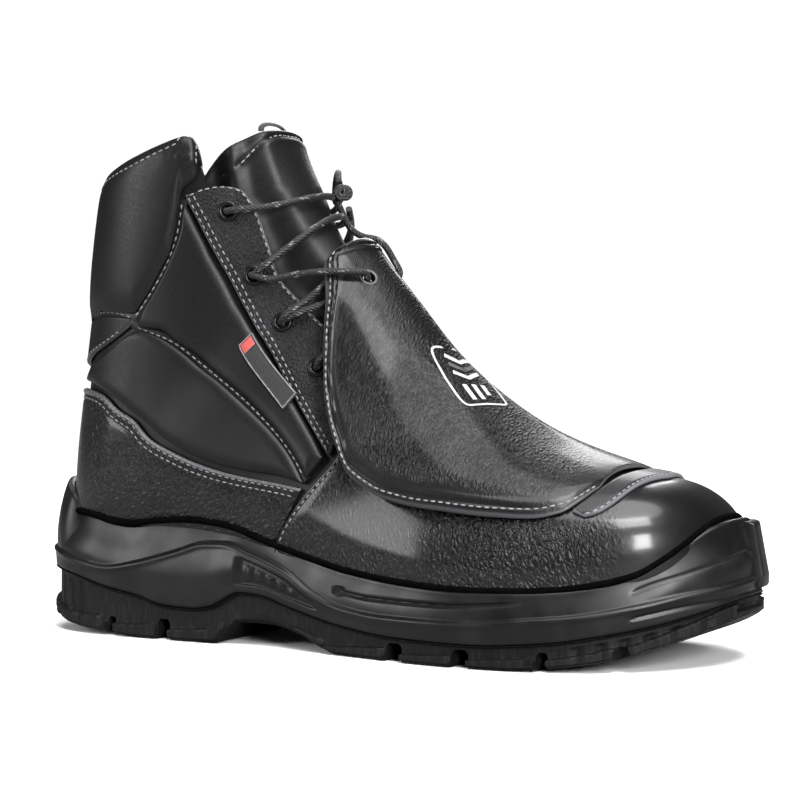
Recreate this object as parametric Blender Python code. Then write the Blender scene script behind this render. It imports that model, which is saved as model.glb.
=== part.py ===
"""Metatarsal guard boot for the right foot, standing empty on its sole.

Metres. X runs from heel to toe, Y to the inner (medial) side, Z up from the floor.
The upper, its overlays, the tongue, the guard and the cavity of the sole are all
read from one surface, the last, so that they follow each other at any size.
A place on the last is a station, counted from 0 at the toe tip round the heel to
20 at the collar, and a girth, from 0 on the ridge to -1 down the outer (lateral)
side or 1 down the inner side, where both meet under the foot or behind the heel.
"""

import math
from collections import namedtuple

import bpy
import numpy as np

# Driving dimensions
SOLE_LENGTH = 0.300
BALL_WIDTH = 0.108
BOOT_HEIGHT = 0.200
SEAT_HEIGHT = 0.032

Station = namedtuple("Station", "bottom_x seat_z back_z top_x top_z lateral medial offset wide_at crown floor")

# One row for each section of the last, from the toe tip to the collar. Places along
# the boot are shares of SOLE_LENGTH from the heel. seat_z is a share of SEAT_HEIGHT,
# back_z and top_z of BOOT_HEIGHT, and the half widths and the offset of BALL_WIDTH.
# wide_at is the widest level as a share of the section, and crown and floor are the
# powers of the rounding above and below it.
LAST = [
    Station(0.972, 1.15, 0.000, 0.972, 0.220, 0.074, 0.074, 0.079, 0.50, 2.0, 2.0),
    Station(0.968, 1.02, 0.000, 0.968, 0.232, 0.139, 0.139, 0.079, 0.45, 2.2, 2.5),
    Station(0.957, 0.92, 0.000, 0.957, 0.266, 0.194, 0.204, 0.077, 0.42, 2.3, 3.0),
    Station(0.935, 0.83, 0.000, 0.935, 0.298, 0.273, 0.287, 0.074, 0.38, 2.4, 3.5),
    Station(0.902, 0.72, 0.000, 0.902, 0.322, 0.352, 0.361, 0.069, 0.36, 2.5, 4.0),
    Station(0.857, 0.59, 0.000, 0.857, 0.336, 0.412, 0.407, 0.060, 0.34, 2.5, 4.5),
    Station(0.797, 0.55, 0.000, 0.797, 0.352, 0.463, 0.426, 0.051, 0.32, 2.3, 5.0),
    Station(0.727, 0.53, 0.000, 0.733, 0.378, 0.486, 0.426, 0.039, 0.30, 2.0, 5.0),
    Station(0.650, 0.53, 0.000, 0.677, 0.418, 0.477, 0.398, 0.028, 0.28, 1.8, 5.0),
    Station(0.573, 0.58, 0.000, 0.623, 0.472, 0.440, 0.343, 0.020, 0.27, 1.7, 5.0),
    Station(0.493, 0.67, 0.000, 0.570, 0.538, 0.394, 0.300, 0.014, 0.27, 1.65, 4.5),
    Station(0.407, 0.81, 0.000, 0.520, 0.620, 0.356, 0.290, 0.007, 0.28, 1.65, 4.0),
    Station(0.293, 0.97, 0.000, 0.477, 0.692, 0.338, 0.306, 0.003, 0.30, 1.7, 3.5),
    Station(0.167, 1.00, 0.000, 0.450, 0.745, 0.338, 0.329, 0.000, 0.34, 1.8, 3.2),
    Station(0.066, 1.00, 0.015, 0.433, 0.785, 0.333, 0.333, 0.000, 0.38, 1.9, 3.0),
    Station(0.041, 1.00, 0.115, 0.420, 0.815, 0.329, 0.329, 0.000, 0.42, 2.0, 2.6),
    Station(0.044, 1.00, 0.240, 0.407, 0.850, 0.329, 0.329, 0.000, 0.45, 2.1, 2.3),
    Station(0.057, 1.00, 0.380, 0.390, 0.895, 0.333, 0.333, 0.000, 0.47, 2.2, 2.2),
    Station(0.071, 1.00, 0.510, 0.373, 0.940, 0.338, 0.338, 0.000, 0.48, 2.2, 2.2),
    Station(0.084, 1.00, 0.640, 0.357, 0.990, 0.345, 0.345, 0.000, 0.50, 2.2, 2.2),
    Station(0.096, 1.00, 0.760, 0.343, 1.030, 0.352, 0.352, 0.000, 0.50, 2.2, 2.2),
]
SIDE_SAMPLES = 60
NORMAL_STEP = (0.08, 0.012)


def smooth(knots, values, at):
    """Natural cubic spline through the values at the knots, read at the places in at."""
    x, y = np.asarray(knots, float), np.asarray(values, float)
    step, slope = np.diff(x), np.diff(y) / np.diff(x)
    system, right = np.eye(len(x)), np.zeros(len(x))
    for i in range(1, len(x) - 1):
        system[i, i - 1 : i + 2] = step[i - 1], 2 * (step[i - 1] + step[i]), step[i]
        right[i] = 6 * (slope[i] - slope[i - 1])
    bend = np.linalg.solve(system, right)
    at = np.clip(np.asarray(at, float), x[0], x[-1])
    i = np.clip(np.searchsorted(x, at, side="right") - 1, 0, len(x) - 2)
    a, b = (x[i + 1] - at) / step[i], (at - x[i]) / step[i]
    curve = ((a**3 - a) * bend[i] + (b**3 - b) * bend[i + 1]) * step[i] ** 2 / 6
    return a * y[i] + b * y[i + 1] + curve


def half_section(length, width, wide_at, crown, floor):
    """One side of a section as (height, half width) rows, evenly spaced from ridge to bottom."""
    turn = np.linspace(0, math.pi / 2, 240)
    above, below = (1 - wide_at) * length, wide_at * length
    crown_part = np.stack([below + above * np.cos(turn) ** (2 / crown), width * np.sin(turn) ** (2 / crown)], 1)
    floor_part = np.stack([below - below * np.sin(turn) ** (2 / floor), width * np.cos(turn) ** (2 / floor)], 1)
    line = np.concatenate([crown_part, floor_part[1:]])
    run = np.concatenate([[0], np.cumsum(np.linalg.norm(np.diff(line, axis=0), axis=1))])
    even = np.linspace(0, run[-1], SIDE_SAMPLES + 1)
    return np.stack([np.interp(even, run, line[:, k]) for k in (0, 1)], 1)


def section_ring(row):
    """The closed section of one station, from girth -1 over the ridge to girth 1."""
    bottom = np.array([(row.bottom_x - 0.5) * SOLE_LENGTH, row.seat_z * SEAT_HEIGHT + row.back_z * BOOT_HEIGHT])
    top = np.array([(row.top_x - 0.5) * SOLE_LENGTH, row.top_z * BOOT_HEIGHT])
    length = np.linalg.norm(top - bottom)
    rise = (top - bottom) / length
    sides = []
    for half, sign in ((row.lateral, -1), (row.medial, 1)):
        height, width = half_section(length, half * BALL_WIDTH, row.wide_at, row.crown, row.floor).T
        middle = bottom + height[:, None] * rise
        sides.append(np.stack([middle[:, 0], row.offset * BALL_WIDTH + sign * width, middle[:, 1]], 1))
    return np.concatenate([sides[0][::-1], sides[1][1:]])


SECTIONS = np.array([section_ring(row) for row in LAST])


def spline_bends(rows):
    """Second derivatives of the natural splines through the rows, one station apart."""
    count = len(rows)
    system = np.eye(count)
    right = np.zeros_like(rows)
    for i in range(1, count - 1):
        system[i, i - 1 : i + 2] = 1, 4, 1
        right[i] = 6 * (rows[i + 1] - 2 * rows[i] + rows[i - 1])
    return np.linalg.solve(system, right.reshape(count, -1)).reshape(rows.shape)


BENDS = spline_bends(SECTIONS)


def bare_last(station, girth):
    """Points of the last itself. Girths past 1 run on round to the other side."""
    station, girth = np.broadcast_arrays(np.asarray(station, float), np.asarray(girth, float))
    column = ((girth + 1) % 2) * SIDE_SAMPLES
    j = np.minimum(column.astype(int), 2 * SIDE_SAMPLES - 1)
    i = np.clip(station.astype(int), 0, len(LAST) - 2)
    b = (station - i)[..., None]
    a = 1 - b
    across = (column - j)[..., None]

    def along(k):
        curve = ((a**3 - a) * BENDS[i, k] + (b**3 - b) * BENDS[i + 1, k]) / 6
        return a * SECTIONS[i, k] + b * SECTIONS[i + 1, k] + curve

    return (1 - across) * along(j) + across * along(j + 1)


def last_at(station, girth, lift=0.0):
    """Points that stand off the last by lift, along its outward normal."""
    station, girth = np.broadcast_arrays(np.asarray(station, float), np.asarray(girth, float))
    ds, dg = NORMAL_STEP
    low = np.maximum(station - ds, 0)
    along = bare_last(station + ds, girth) - bare_last(low, girth)
    round_it = bare_last(station, girth + dg) - bare_last(station, girth - dg)
    normal = np.cross(round_it, along)
    normal /= np.maximum(np.linalg.norm(normal, axis=-1, keepdims=True), 1e-12)
    return bare_last(station, girth) + normal * np.asarray(lift)[..., None]


# Lifts off the last, in metres. The last is the mean outer skin of the upper, so the
# base leather lies a little inside it and the sewn-on layers a little outside.
BASE_LIFT = -0.0016
WALL = 0.0022
SEWN_LIFT = -0.0007
VAMP_LIFT = 0.0012
COUNTER_LIFT = 0.0006
EYESTAY_LIFT = 0.0009
PAD_LIFT = 0.0020
BAND_LIFT = 0.0010
COLLAR_OUT = 0.0028
COLLAR_IN = -0.0100
GAP = 0.0004
CAVITY_LIFT = 0.0022
INSOLE_LIFT = 0.0008
INSOLE_THICK = 0.0080
LACE_RADIUS = 0.0014
LACE_LIFT = 0.0036
LACE_LOW = 0.0010
TONGUE_UNDER = -0.0044
TONGUE_THICK = 0.0052
TONGUE_TUCK = 0.0072

EYELET_BORE = 0.0022
EYELET_EDGE = 0.0040
EYELET_STAND = 0.0009
GUARD_BORE = 0.0028
GUARD_RIM = 0.0012
GUARD_DROP = 0.0014
GUARD_LEAST = 0.0014
KNOT_RADIUS = 0.0030
PULL_RADIUS = 0.0011
PULL_SPREAD = 0.0095
PULL_RISE = 0.0030
TAB_DEPTH = 0.0078
SCUFF_STAND = 0.0016

ROWS = [0, 0.5, 1, 1.5, 2, 3, 4, 5, 6, 7, 8, 9, 9.8, 10.5, 10.85, 11.5, 12.3, 13, 13.5,
        14, 14.5, 15, 15.7, 16.4, 17.1, 17.9, 18.8, 19.6]
THROAT_START = 10.85
OPEN_FLOOR = (1.5, 13.5)
COLUMNS = (2, 9, 3)

Edge = namedtuple("Edge", "station girth")
THROAT = [Edge(10.0, 0.10), Edge(10.85, 0.12), Edge(12.2, 0.155), Edge(13.3, 0.150), Edge(15.3, 0.158),
          Edge(17.0, 0.185), Edge(17.6, 0.210), Edge(18.2, 0.300), Edge(18.5, 0.318), Edge(20.6, 0.345)]


def half_girth(station):
    """Length of the outer side of the section at this station."""
    line = bare_last(station, np.linspace(-1, 0, 61))
    return float(np.linalg.norm(np.diff(line, axis=0), axis=1).sum())


def read(table, column, at):
    """One named column of a table against its first column, straight between rows."""
    rows = np.array(table, float)
    return np.interp(at, rows[:, 0], rows[:, column])


def throat_girth(station):
    return read(THROAT, 1, station)


def feather_girth(station):
    """Girth at which the upper ends under the foot."""
    width = smooth(range(len(LAST)), [row.lateral * BALL_WIDTH for row in LAST], station)
    return 1 - 0.72 * float(width) / half_girth(station)


def girth_columns(station):
    """Girths from -1 round to just under 1, denser over the sides, that fall on the edges."""
    to_throat, to_feather, to_bottom = COLUMNS
    throat, feather = float(throat_girth(station)), feather_girth(station)
    if station > OPEN_FLOOR[1]:
        feather = min(feather, feather_girth(OPEN_FLOOR[1]))
    side = np.concatenate([
        np.linspace(0, throat, to_throat + 1),
        np.linspace(throat, feather, to_feather + 1)[1:],
        np.linspace(feather, 1, to_bottom + 1)[1:],
    ])
    return np.concatenate([-side[::-1], side[1:-1]])


SIDE_COLUMNS = sum(COLUMNS)
GIRTHS = np.array([girth_columns(s) for s in ROWS])
STATIONS = np.repeat(np.array(ROWS, float)[:, None], GIRTHS.shape[1], axis=1)


def add_object(name, collection, points, faces, material=None):
    """A mesh object with its faces turned outwards."""
    points = np.asarray(points, float)
    volume = 0.0
    for face in faces:
        for k in range(1, len(face) - 1):
            a, b, c = points[face[0]], points[face[k]], points[face[k + 1]]
            volume += float(np.dot(a, np.cross(b, c)))
    if volume < 0:
        faces = [face[::-1] for face in faces]
    mesh = bpy.data.meshes.new(name)
    mesh.from_pydata(points.tolist(), [], [list(map(int, face)) for face in faces])
    mesh.validate()
    mesh.update()
    body = bpy.data.objects.new(name, mesh)
    collection.objects.link(body)
    if material is not None:
        mesh.materials.append(material)
    return body


def shell(outer, inner, keep=None, wrap=False, nose=False):
    """Closed solid between two grids of points, with a wall round every cell left out.

    nose closes the first row of both skins to a point, which suits a toe.
    """
    rows, columns = outer.shape[:2]
    spans = columns if wrap else columns - 1
    kept = np.ones((rows - 1, spans), bool) if keep is None else keep
    points = [outer.reshape(-1, 3), inner.reshape(-1, 3)]
    count = rows * columns
    faces = []

    def at(i, j, skin):
        return skin * count + i * columns + j % columns

    for i in range(rows - 1):
        for j in range(spans):
            if not kept[i, j]:
                continue
            faces.append((at(i, j, 0), at(i, j + 1, 0), at(i + 1, j + 1, 0), at(i + 1, j, 0)))
            faces.append((at(i + 1, j, 1), at(i + 1, j + 1, 1), at(i, j + 1, 1), at(i, j, 1)))
            if (i == 0 and not nose) or (i > 0 and not kept[i - 1, j]):
                faces.append((at(i, j, 1), at(i, j + 1, 1), at(i, j + 1, 0), at(i, j, 0)))
            if i == rows - 2 or not kept[i + 1, j]:
                faces.append((at(i + 1, j, 0), at(i + 1, j + 1, 0), at(i + 1, j + 1, 1), at(i + 1, j, 1)))
            if (j == 0 and not wrap) or not kept[i, (j - 1) % spans if wrap else max(j - 1, 0)]:
                faces.append((at(i, j, 0), at(i + 1, j, 0), at(i + 1, j, 1), at(i, j, 1)))
            if (j == spans - 1 and not wrap) or not kept[i, (j + 1) % spans if wrap else min(j + 1, spans - 1)]:
                faces.append((at(i, j + 1, 1), at(i + 1, j + 1, 1), at(i + 1, j + 1, 0), at(i, j + 1, 0)))
    if nose:
        for skin, grid in ((0, outer), (1, inner)):
            tip = sum(len(block) for block in points)
            points.append(grid[0].mean(axis=0)[None])
            for j in range(spans):
                face = (at(0, j + 1, skin), at(0, j, skin), tip)
                faces.append(face if skin == 0 else face[::-1])
        if not wrap:
            tips, last = (tip - 1, tip), columns - 1
            faces.append((tips[0], at(0, 0, 0), at(0, 0, 1), tips[1]))
            faces.append((tips[1], at(0, last, 1), at(0, last, 0), tips[0]))
    points = np.concatenate(points)
    used = sorted({index for face in faces for index in face})
    place = {index: k for k, index in enumerate(used)}
    return points[used], [tuple(place[index] for index in face) for face in faces]


def tube(rings, wrap=False):
    """Closed solid through rings of points. Without wrap both ends are filled."""
    count, size = rings.shape[:2]
    faces = []
    for i in range(count if wrap else count - 1):
        for j in range(size):
            a, b = i * size, (i + 1) % count * size
            k = (j + 1) % size
            faces.append((a + j, a + k, b + k, b + j))
    points = [rings.reshape(-1, 3)]
    if not wrap:
        for i, turn in ((0, -1), (count - 1, 1)):
            hub = sum(len(block) for block in points)
            points.append(rings[i].mean(axis=0)[None])
            faces += [(i * size + j, i * size + (j + 1) % size, hub)[::turn] for j in range(size)]
    return np.concatenate(points), faces


def last_form(lift):
    """The last itself as a closed solid, lift outside its own skin."""
    return tube(last_at(STATIONS, GIRTHS, lift))


Run = namedtuple("Run", "station_a girth_a station_b girth_b")
# Each sewn-on piece spans from edge a to edge b. Girths are for the outer side.
EYESTAY = [
    Run(10.72, 0.165, 10.80, 0.430), Run(11.20, 0.165, 11.20, 0.402), Run(11.80, 0.170, 11.80, 0.357),
    Run(12.50, 0.168, 12.50, 0.306), Run(13.10, 0.162, 13.10, 0.276), Run(13.80, 0.160, 13.80, 0.255),
    Run(14.50, 0.162, 14.50, 0.255), Run(15.30, 0.165, 15.30, 0.271), Run(16.00, 0.173, 16.00, 0.293),
    Run(16.80, 0.186, 16.80, 0.325), Run(17.40, 0.204, 17.40, 0.348), Run(17.75, 0.225, 17.80, 0.364),
    Run(18.05, 0.270, 18.20, 0.382), Run(18.22, 0.326, 18.34, 0.386),
]
QUARTER = [
    Run(10.86, 0.441, 11.00, 0.512), Run(11.25, 0.408, 11.30, 0.484), Run(11.80, 0.366, 11.80, 0.449),
    Run(12.50, 0.315, 12.50, 0.414), Run(13.10, 0.285, 13.10, 0.394), Run(13.80, 0.264, 13.80, 0.381),
    Run(14.50, 0.264, 14.50, 0.396), Run(15.30, 0.280, 15.30, 0.448), Run(15.90, 0.299, 15.85, 0.494),
    Run(16.40, 0.319, 16.32, 0.562), Run(16.80, 0.334, 16.58, 0.522), Run(17.20, 0.350, 16.95, 0.462),
    Run(17.70, 0.369, 17.45, 0.415), Run(18.10, 0.386, 17.98, 0.398),
]
ANKLE = [
    Run(11.02, 0.526, 11.05, 0.530), Run(11.45, 0.482, 11.50, 0.548), Run(12.08, 0.446, 12.00, 0.574),
    Run(12.90, 0.412, 12.70, 0.582), Run(13.60, 0.395, 13.50, 0.563), Run(14.40, 0.406, 14.20, 0.562),
    Run(15.20, 0.452, 14.90, 0.606), Run(15.80, 0.504, 15.50, 0.662), Run(16.28, 0.575, 15.95, 0.720),
    Run(16.38, 0.660, 16.20, 0.760), Run(16.58, 0.760, 16.42, 0.808),
]
COUNTER = [
    Run(11.29, 0.840, 11.04, 0.543), Run(11.70, 0.850, 11.50, 0.568), Run(12.20, 0.850, 12.10, 0.594),
    Run(12.60, 0.850, 12.75, 0.597), Run(13.00, 0.850, 13.30, 0.586), Run(13.30, 0.860, 13.90, 0.580),
    Run(13.74, 0.862, 14.50, 0.592), Run(14.14, 0.885, 15.10, 0.643), Run(14.44, 0.920, 15.75, 0.706),
    Run(14.56, 0.955, 16.26, 0.800), Run(14.60, 0.980, 16.52, 0.890), Run(14.61, 1.000, 16.62, 1.000),
]
BACK_BAND = [
    Run(16.50, 0.585, 16.56, 0.585), Run(16.54, 0.64, 16.80, 0.64), Run(16.66, 0.72, 17.10, 0.72),
    Run(16.80, 0.80, 17.32, 0.80), Run(16.88, 0.90, 17.42, 0.90), Run(16.92, 1.0, 17.45, 1.0),
]
# Lower edge of the collar, as (girth, station).
COLLAR_SEAM = [(0.318, 18.62), (0.36, 18.64), (0.392, 18.60), (0.415, 17.95), (0.45, 17.28), (0.525, 16.82),
               (0.575, 16.66), (0.64, 16.95), (0.728, 17.34), (0.80, 17.50), (1.0, 17.58)]
TAG = [Run(11.75, 0.345, 11.82, 0.395), Run(12.3, 0.322, 12.35, 0.366), Run(12.9, 0.295, 12.95, 0.336),
       Run(13.38, 0.274, 13.42, 0.312)]
# Rear edge of the vamp, as (girth, station).
VAMP_EDGE = [(0.0, 10.50), (0.30, 10.52), (0.437, 10.66), (0.522, 10.86), (0.626, 11.08), (0.70, 11.16),
             (0.90, 11.20)]
STRIP = [Run(4.40, 0.02, 5.10, 0.02), Run(4.50, 0.11, 5.14, 0.11), Run(4.68, 0.22, 5.26, 0.22),
         Run(4.86, 0.295, 5.44, 0.295), Run(5.12, 0.345, 5.60, 0.335), Run(5.42, 0.366, 5.66, 0.352)]
Shield = namedtuple("Shield", "station girth inner outer")
# The guard over the instep: half girth of its edge, and how far its skins stand off.
GUARD = [
    Shield(5.36, 0.250, 0.0017, 0.0034), Shield(5.55, 0.310, 0.0018, 0.0040), Shield(5.85, 0.360, 0.0020, 0.0048),
    Shield(6.4, 0.386, 0.0023, 0.0060), Shield(7.1, 0.394, 0.0030, 0.0074), Shield(8.0, 0.406, 0.0038, 0.0086),
    Shield(8.8, 0.426, 0.0044, 0.0094), Shield(9.4, 0.438, 0.0049, 0.0100), Shield(10.0, 0.434, 0.0054, 0.0106),
    Shield(10.6, 0.388, 0.0062, 0.0111), Shield(11.1, 0.322, 0.0070, 0.0115), Shield(11.65, 0.225, 0.0076, 0.0118),
    Shield(12.3, 0.140, 0.0081, 0.0118), Shield(12.8, 0.105, 0.0083, 0.0116), Shield(13.2, 0.085, 0.0083, 0.0113),
    Shield(13.45, 0.058, 0.0082, 0.0108),
]
GUARD_ACROSS = (-1, -0.93, -0.76, -0.52, -0.26, 0, 0.26, 0.52, 0.76, 0.93, 1)
Hole = namedtuple("Hole", "station girth")
GUARD_HOLE = Hole(12.0, 0.044)
EYELETS = [Hole(17.27, 0.262), Hole(14.98, 0.214), Hole(12.98, 0.222), Hole(11.71, 0.262)]


def runs(table, count):
    """Both edges of a sewn-on piece at count places along it, as four smooth lists."""
    rows = np.array(table, float)
    knots = np.linspace(0, 1, len(rows))
    at = np.linspace(0, 1, count)
    return [smooth(knots, rows[:, k], at) for k in range(4)]


def sewn_piece(table, side, count, across, low, high, profile=None):
    """A layer sewn on one side of the last, as points and faces.

    across lists shares from edge a to edge b, and profile the height there as a share.
    """
    sa, ga, sb, gb = (line[:, None] for line in runs(table, count))
    share = np.array(across)[None, :]
    height = np.ones(len(across)) if profile is None else np.array(profile)
    ends = np.ones(count)
    if profile is not None:
        ends[[0, -1]] = profile[0]
    station = sa + (sb - sa) * share
    girth = side * (ga + (gb - ga) * share)
    skin = low + GAP + (high - low - GAP) * np.minimum(height[None, :], ends[:, None])
    return shell(last_at(station, girth, skin), last_at(station, girth, low))


def wrapped_piece(table, count, across, low, high):
    """A layer that runs from the outer side round the heel to the inner side."""
    sa, ga, sb, gb = runs(table, count)
    sa, sb = (np.concatenate([line, line[-2::-1]]) for line in (sa, sb))
    ga, gb = (np.concatenate([-line, line[-2::-1]]) for line in (ga, gb))
    share = np.array(across)[None, :]
    station = sa[:, None] + (sb - sa)[:, None] * share
    girth_a = np.concatenate([ga[:count], ga[count:] - 2])[:, None]
    girth_b = np.concatenate([gb[:count], gb[count:] - 2])[:, None]
    girth = girth_a + (girth_b - girth_a) * share
    return shell(last_at(station, girth, high), last_at(station, girth, low))


COUNTER_ACROSS = (0, 0.2, 0.45, 0.72, 1)
PAD_ACROSS = (0.0, 0.12, 0.32, 0.68, 0.88, 1.0)
PAD_PROFILE = (0.10, 0.62, 1.0, 1.0, 0.62, 0.10)


def collar_wall(girth):
    """Station of the upper's top edge, which drops at the front corners."""
    corner = 1 - np.clip((np.abs(girth) - 0.33) / 0.07, 0, 1)
    return 19.6 - 0.36 * corner**2


def upper_shell():
    """The base upper: open at the collar, down the throat and under the foot."""
    station = STATIONS.copy()
    station[-1] = collar_wall(GIRTHS[-1])
    outer = last_at(station, GIRTHS, BASE_LIFT)
    inner = last_at(station, GIRTHS, BASE_LIFT - WALL)
    spans = GIRTHS.shape[1]
    keep = np.ones((len(ROWS) - 1, spans), bool)
    to_throat, _, to_bottom = COLUMNS
    for i in range(len(ROWS) - 1):
        if ROWS[i] >= THROAT_START:
            keep[i, SIDE_COLUMNS - to_throat : SIDE_COLUMNS + to_throat] = False
        if OPEN_FLOOR[0] <= ROWS[i] < OPEN_FLOOR[1]:
            keep[i, :to_bottom] = False
            keep[i, spans - to_bottom :] = False
    return shell(outer, inner, keep, wrap=True, nose=True)


def vamp_shell():
    """The front layer, from the toe back to its seam over the instep."""
    to_bottom = COLUMNS[2]
    columns = slice(to_bottom, GIRTHS.shape[1] - to_bottom + 1)
    rows = [k for k, s in enumerate(ROWS) if s <= 9.8]
    girth = GIRTHS[rows][:, columns]
    station = STATIONS[rows][:, columns]
    seam = read(VAMP_EDGE, 1, np.abs(GIRTHS[ROWS.index(10.5)][columns]))
    last_girth = GIRTHS[ROWS.index(10.85)][columns]
    station = np.vstack([station, 0.5 * (station[-1] + seam), seam])
    girth = np.vstack([girth, 0.5 * (girth[-1] + last_girth), last_girth])
    outer = last_at(station, girth, VAMP_LIFT)
    inner = last_at(station, girth, SEWN_LIFT + GAP)
    return shell(outer, inner, nose=True)


def collar_pad():
    """Padded roll that wraps the top edge of the upper, round the heel between its front corners."""
    start = SIDE_COLUMNS - COLUMNS[0]
    columns = list(range(start, -1, -1)) + list(range(GIRTHS.shape[1] - 1, SIDE_COLUMNS + COLUMNS[0] - 1, -1))
    girth = GIRTHS[-1][columns]
    seam = read(COLLAR_SEAM, 1, np.abs(girth))
    wall = collar_wall(girth) + 0.04
    top = wall + 0.29
    lean = np.minimum(seam, 18.2)
    under, inside = BASE_LIFT + 3 * GAP, BASE_LIFT - WALL - 3 * GAP
    middle, deep = 0.5 * (COLLAR_OUT + COLLAR_IN), COLLAR_OUT - COLLAR_IN
    profile = [
        (seam, under), (seam - 0.04, under + 3 * GAP), (seam + 0.10, COLLAR_OUT - 3 * GAP),
        (seam + 0.35, COLLAR_OUT), (0.5 * (seam + 19.5), COLLAR_OUT + 0.05 * deep), (top - 0.45, COLLAR_OUT),
        (top - 0.06, middle + 0.30 * deep), (top, middle + 0.05 * deep), (top - 0.06, middle - 0.23 * deep),
        (top - 0.45, COLLAR_IN + GAP), (lean + 0.7, COLLAR_IN), (lean + 0.25, COLLAR_IN + 0.23 * deep),
        (lean, inside), (0.5 * (lean + wall), inside), (wall, inside), (wall, under),
        *((wall + (seam - wall) * share, under) for share in (0.33, 0.67)),
    ]
    points = np.array([last_at(station, girth, lift + 0 * station) for station, lift in profile])
    return tube(points.transpose(1, 0, 2))


TONGUE = [Edge(10.95, 0.085), Edge(11.6, 0.20), Edge(12.4, 0.265), Edge(14.0, 0.265), Edge(16.0, 0.275),
          Edge(17.2, 0.300), Edge(18.2, 0.345), Edge(19.0, 0.365), Edge(19.5, 0.350)]
TONGUE_ACROSS = (-1, -0.80, -0.58, -0.34, 0, 0.34, 0.58, 0.80, 1)


def tongue_lift(station, girth):
    """Outer skin of the tongue: under the eyestays at its sides, proud in the throat."""
    throat = np.minimum(throat_girth(station), 0.20)
    rise = np.clip((throat - 0.012 - np.abs(girth)) / 0.085, 0, 1)
    end = np.clip((station - 11.6) / 1.2, 0, 1)
    tuck = np.clip((np.abs(girth) - 0.225) / 0.075, 0, 1) * np.clip((station - 16.9) / 0.8, 0, 1)
    under = TONGUE_UNDER - TONGUE_TUCK * tuck * tuck * (3 - 2 * tuck)
    return under + (0.5 * GAP - TONGUE_UNDER) * rise * rise * (3 - 2 * rise) * end


def tongue_shell():
    stations = np.array([10.95, 11.6, 12.3, 13.1, 14.0, 15.0, 16.0, 17.0, 17.8, 18.5, 19.1, 19.4, 19.5])
    station = np.repeat(stations[:, None], len(TONGUE_ACROSS), axis=1)
    girth = read(TONGUE, 1, stations)[:, None] * np.array(TONGUE_ACROSS)[None]
    station = station - 0.55 * np.abs(girth / 0.29) ** 2.5 * np.clip((station - 17.5) / 2, 0, 1)
    outer = tongue_lift(station, girth)
    edge = 1 - 0.45 * np.abs(np.array(TONGUE_ACROSS))[None] ** 4
    return shell(last_at(station, girth, outer), last_at(station, girth, outer - TONGUE_THICK * edge))


def guard_shell():
    """Padded shield over the instep, fixed at the toe strip and free elsewhere."""
    stations = np.array([row.station for row in GUARD])
    share = np.array(GUARD_ACROSS)[None]
    girth = np.array([row.girth for row in GUARD])[:, None] * share
    station = np.repeat(stations[:, None], len(GUARD_ACROSS), axis=1)
    low = np.array([row.inner for row in GUARD])[:, None]
    high = np.array([row.outer for row in GUARD])[:, None]
    edge = np.clip((1 - np.abs(share)) / 0.2, 0, 1)
    drop = GUARD_DROP * (1 - edge) * (station < 9)
    inner = np.maximum(low - drop, VAMP_LIFT + GAP)
    outer = np.maximum(high - GUARD_RIM * (1 - edge) ** 2 - drop, inner + GUARD_LEAST)
    return shell(last_at(station, girth, outer), last_at(station, girth, inner))


Outline = namedtuple("Outline", "along offset lateral medial")
# Plan of the sole, shares of SOLE_LENGTH from the heel and of BALL_WIDTH.
SOLE_PLAN = [
    Outline(0.00, 0.000, 0.000, 0.000), Outline(0.03, 0.000, 0.227, 0.227), Outline(0.08, 0.000, 0.324, 0.324),
    Outline(0.14, 0.000, 0.356, 0.356), Outline(0.25, 0.000, 0.366, 0.352), Outline(0.36, 0.000, 0.375, 0.329),
    Outline(0.46, 0.009, 0.407, 0.315), Outline(0.56, 0.019, 0.468, 0.361), Outline(0.65, 0.028, 0.519, 0.431),
    Outline(0.72, 0.037, 0.532, 0.463), Outline(0.80, 0.051, 0.509, 0.468), Outline(0.88, 0.065, 0.431, 0.426),
    Outline(0.94, 0.074, 0.319, 0.333), Outline(0.98, 0.079, 0.190, 0.204), Outline(1.00, 0.083, 0.000, 0.000),
]
Level = namedtuple("Level", "along height")
# Heights above the floor as shares of SEAT_HEIGHT, along the sole as shares of its length.
RIM = [Level(0.0, 1.50), Level(0.06, 1.50), Level(0.11, 1.47), Level(0.14, 1.41), Level(0.17, 1.385), Level(0.22, 1.44),
       Level(0.27, 1.47), Level(0.327, 1.43), Level(0.39, 1.26), Level(0.453, 1.11), Level(0.517, 0.985),
       Level(0.613, 0.894), Level(0.70, 0.862), Level(0.773, 0.875), Level(0.82, 0.906), Level(0.863, 0.97),
       Level(0.90, 1.07), Level(0.933, 1.27), Level(0.953, 1.42), Level(0.97, 1.54), Level(0.99, 1.635), Level(1.0, 1.66)]
WAIST = [Level(0.0, 1.06), Level(0.03, 1.04), Level(0.093, 0.93), Level(0.143, 0.87), Level(0.19, 0.94),
         Level(0.253, 1.10), Level(0.297, 1.22), Level(0.327, 1.23), Level(0.37, 1.13), Level(0.425, 0.95),
         Level(0.47, 0.72), Level(0.52, 0.57), Level(0.587, 0.515), Level(0.653, 0.515), Level(0.707, 0.525),
         Level(0.777, 0.59), Level(0.833, 0.64), Level(0.91, 0.78), Level(0.953, 0.885), Level(0.983, 0.94),
         Level(1.0, 1.00)]
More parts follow.
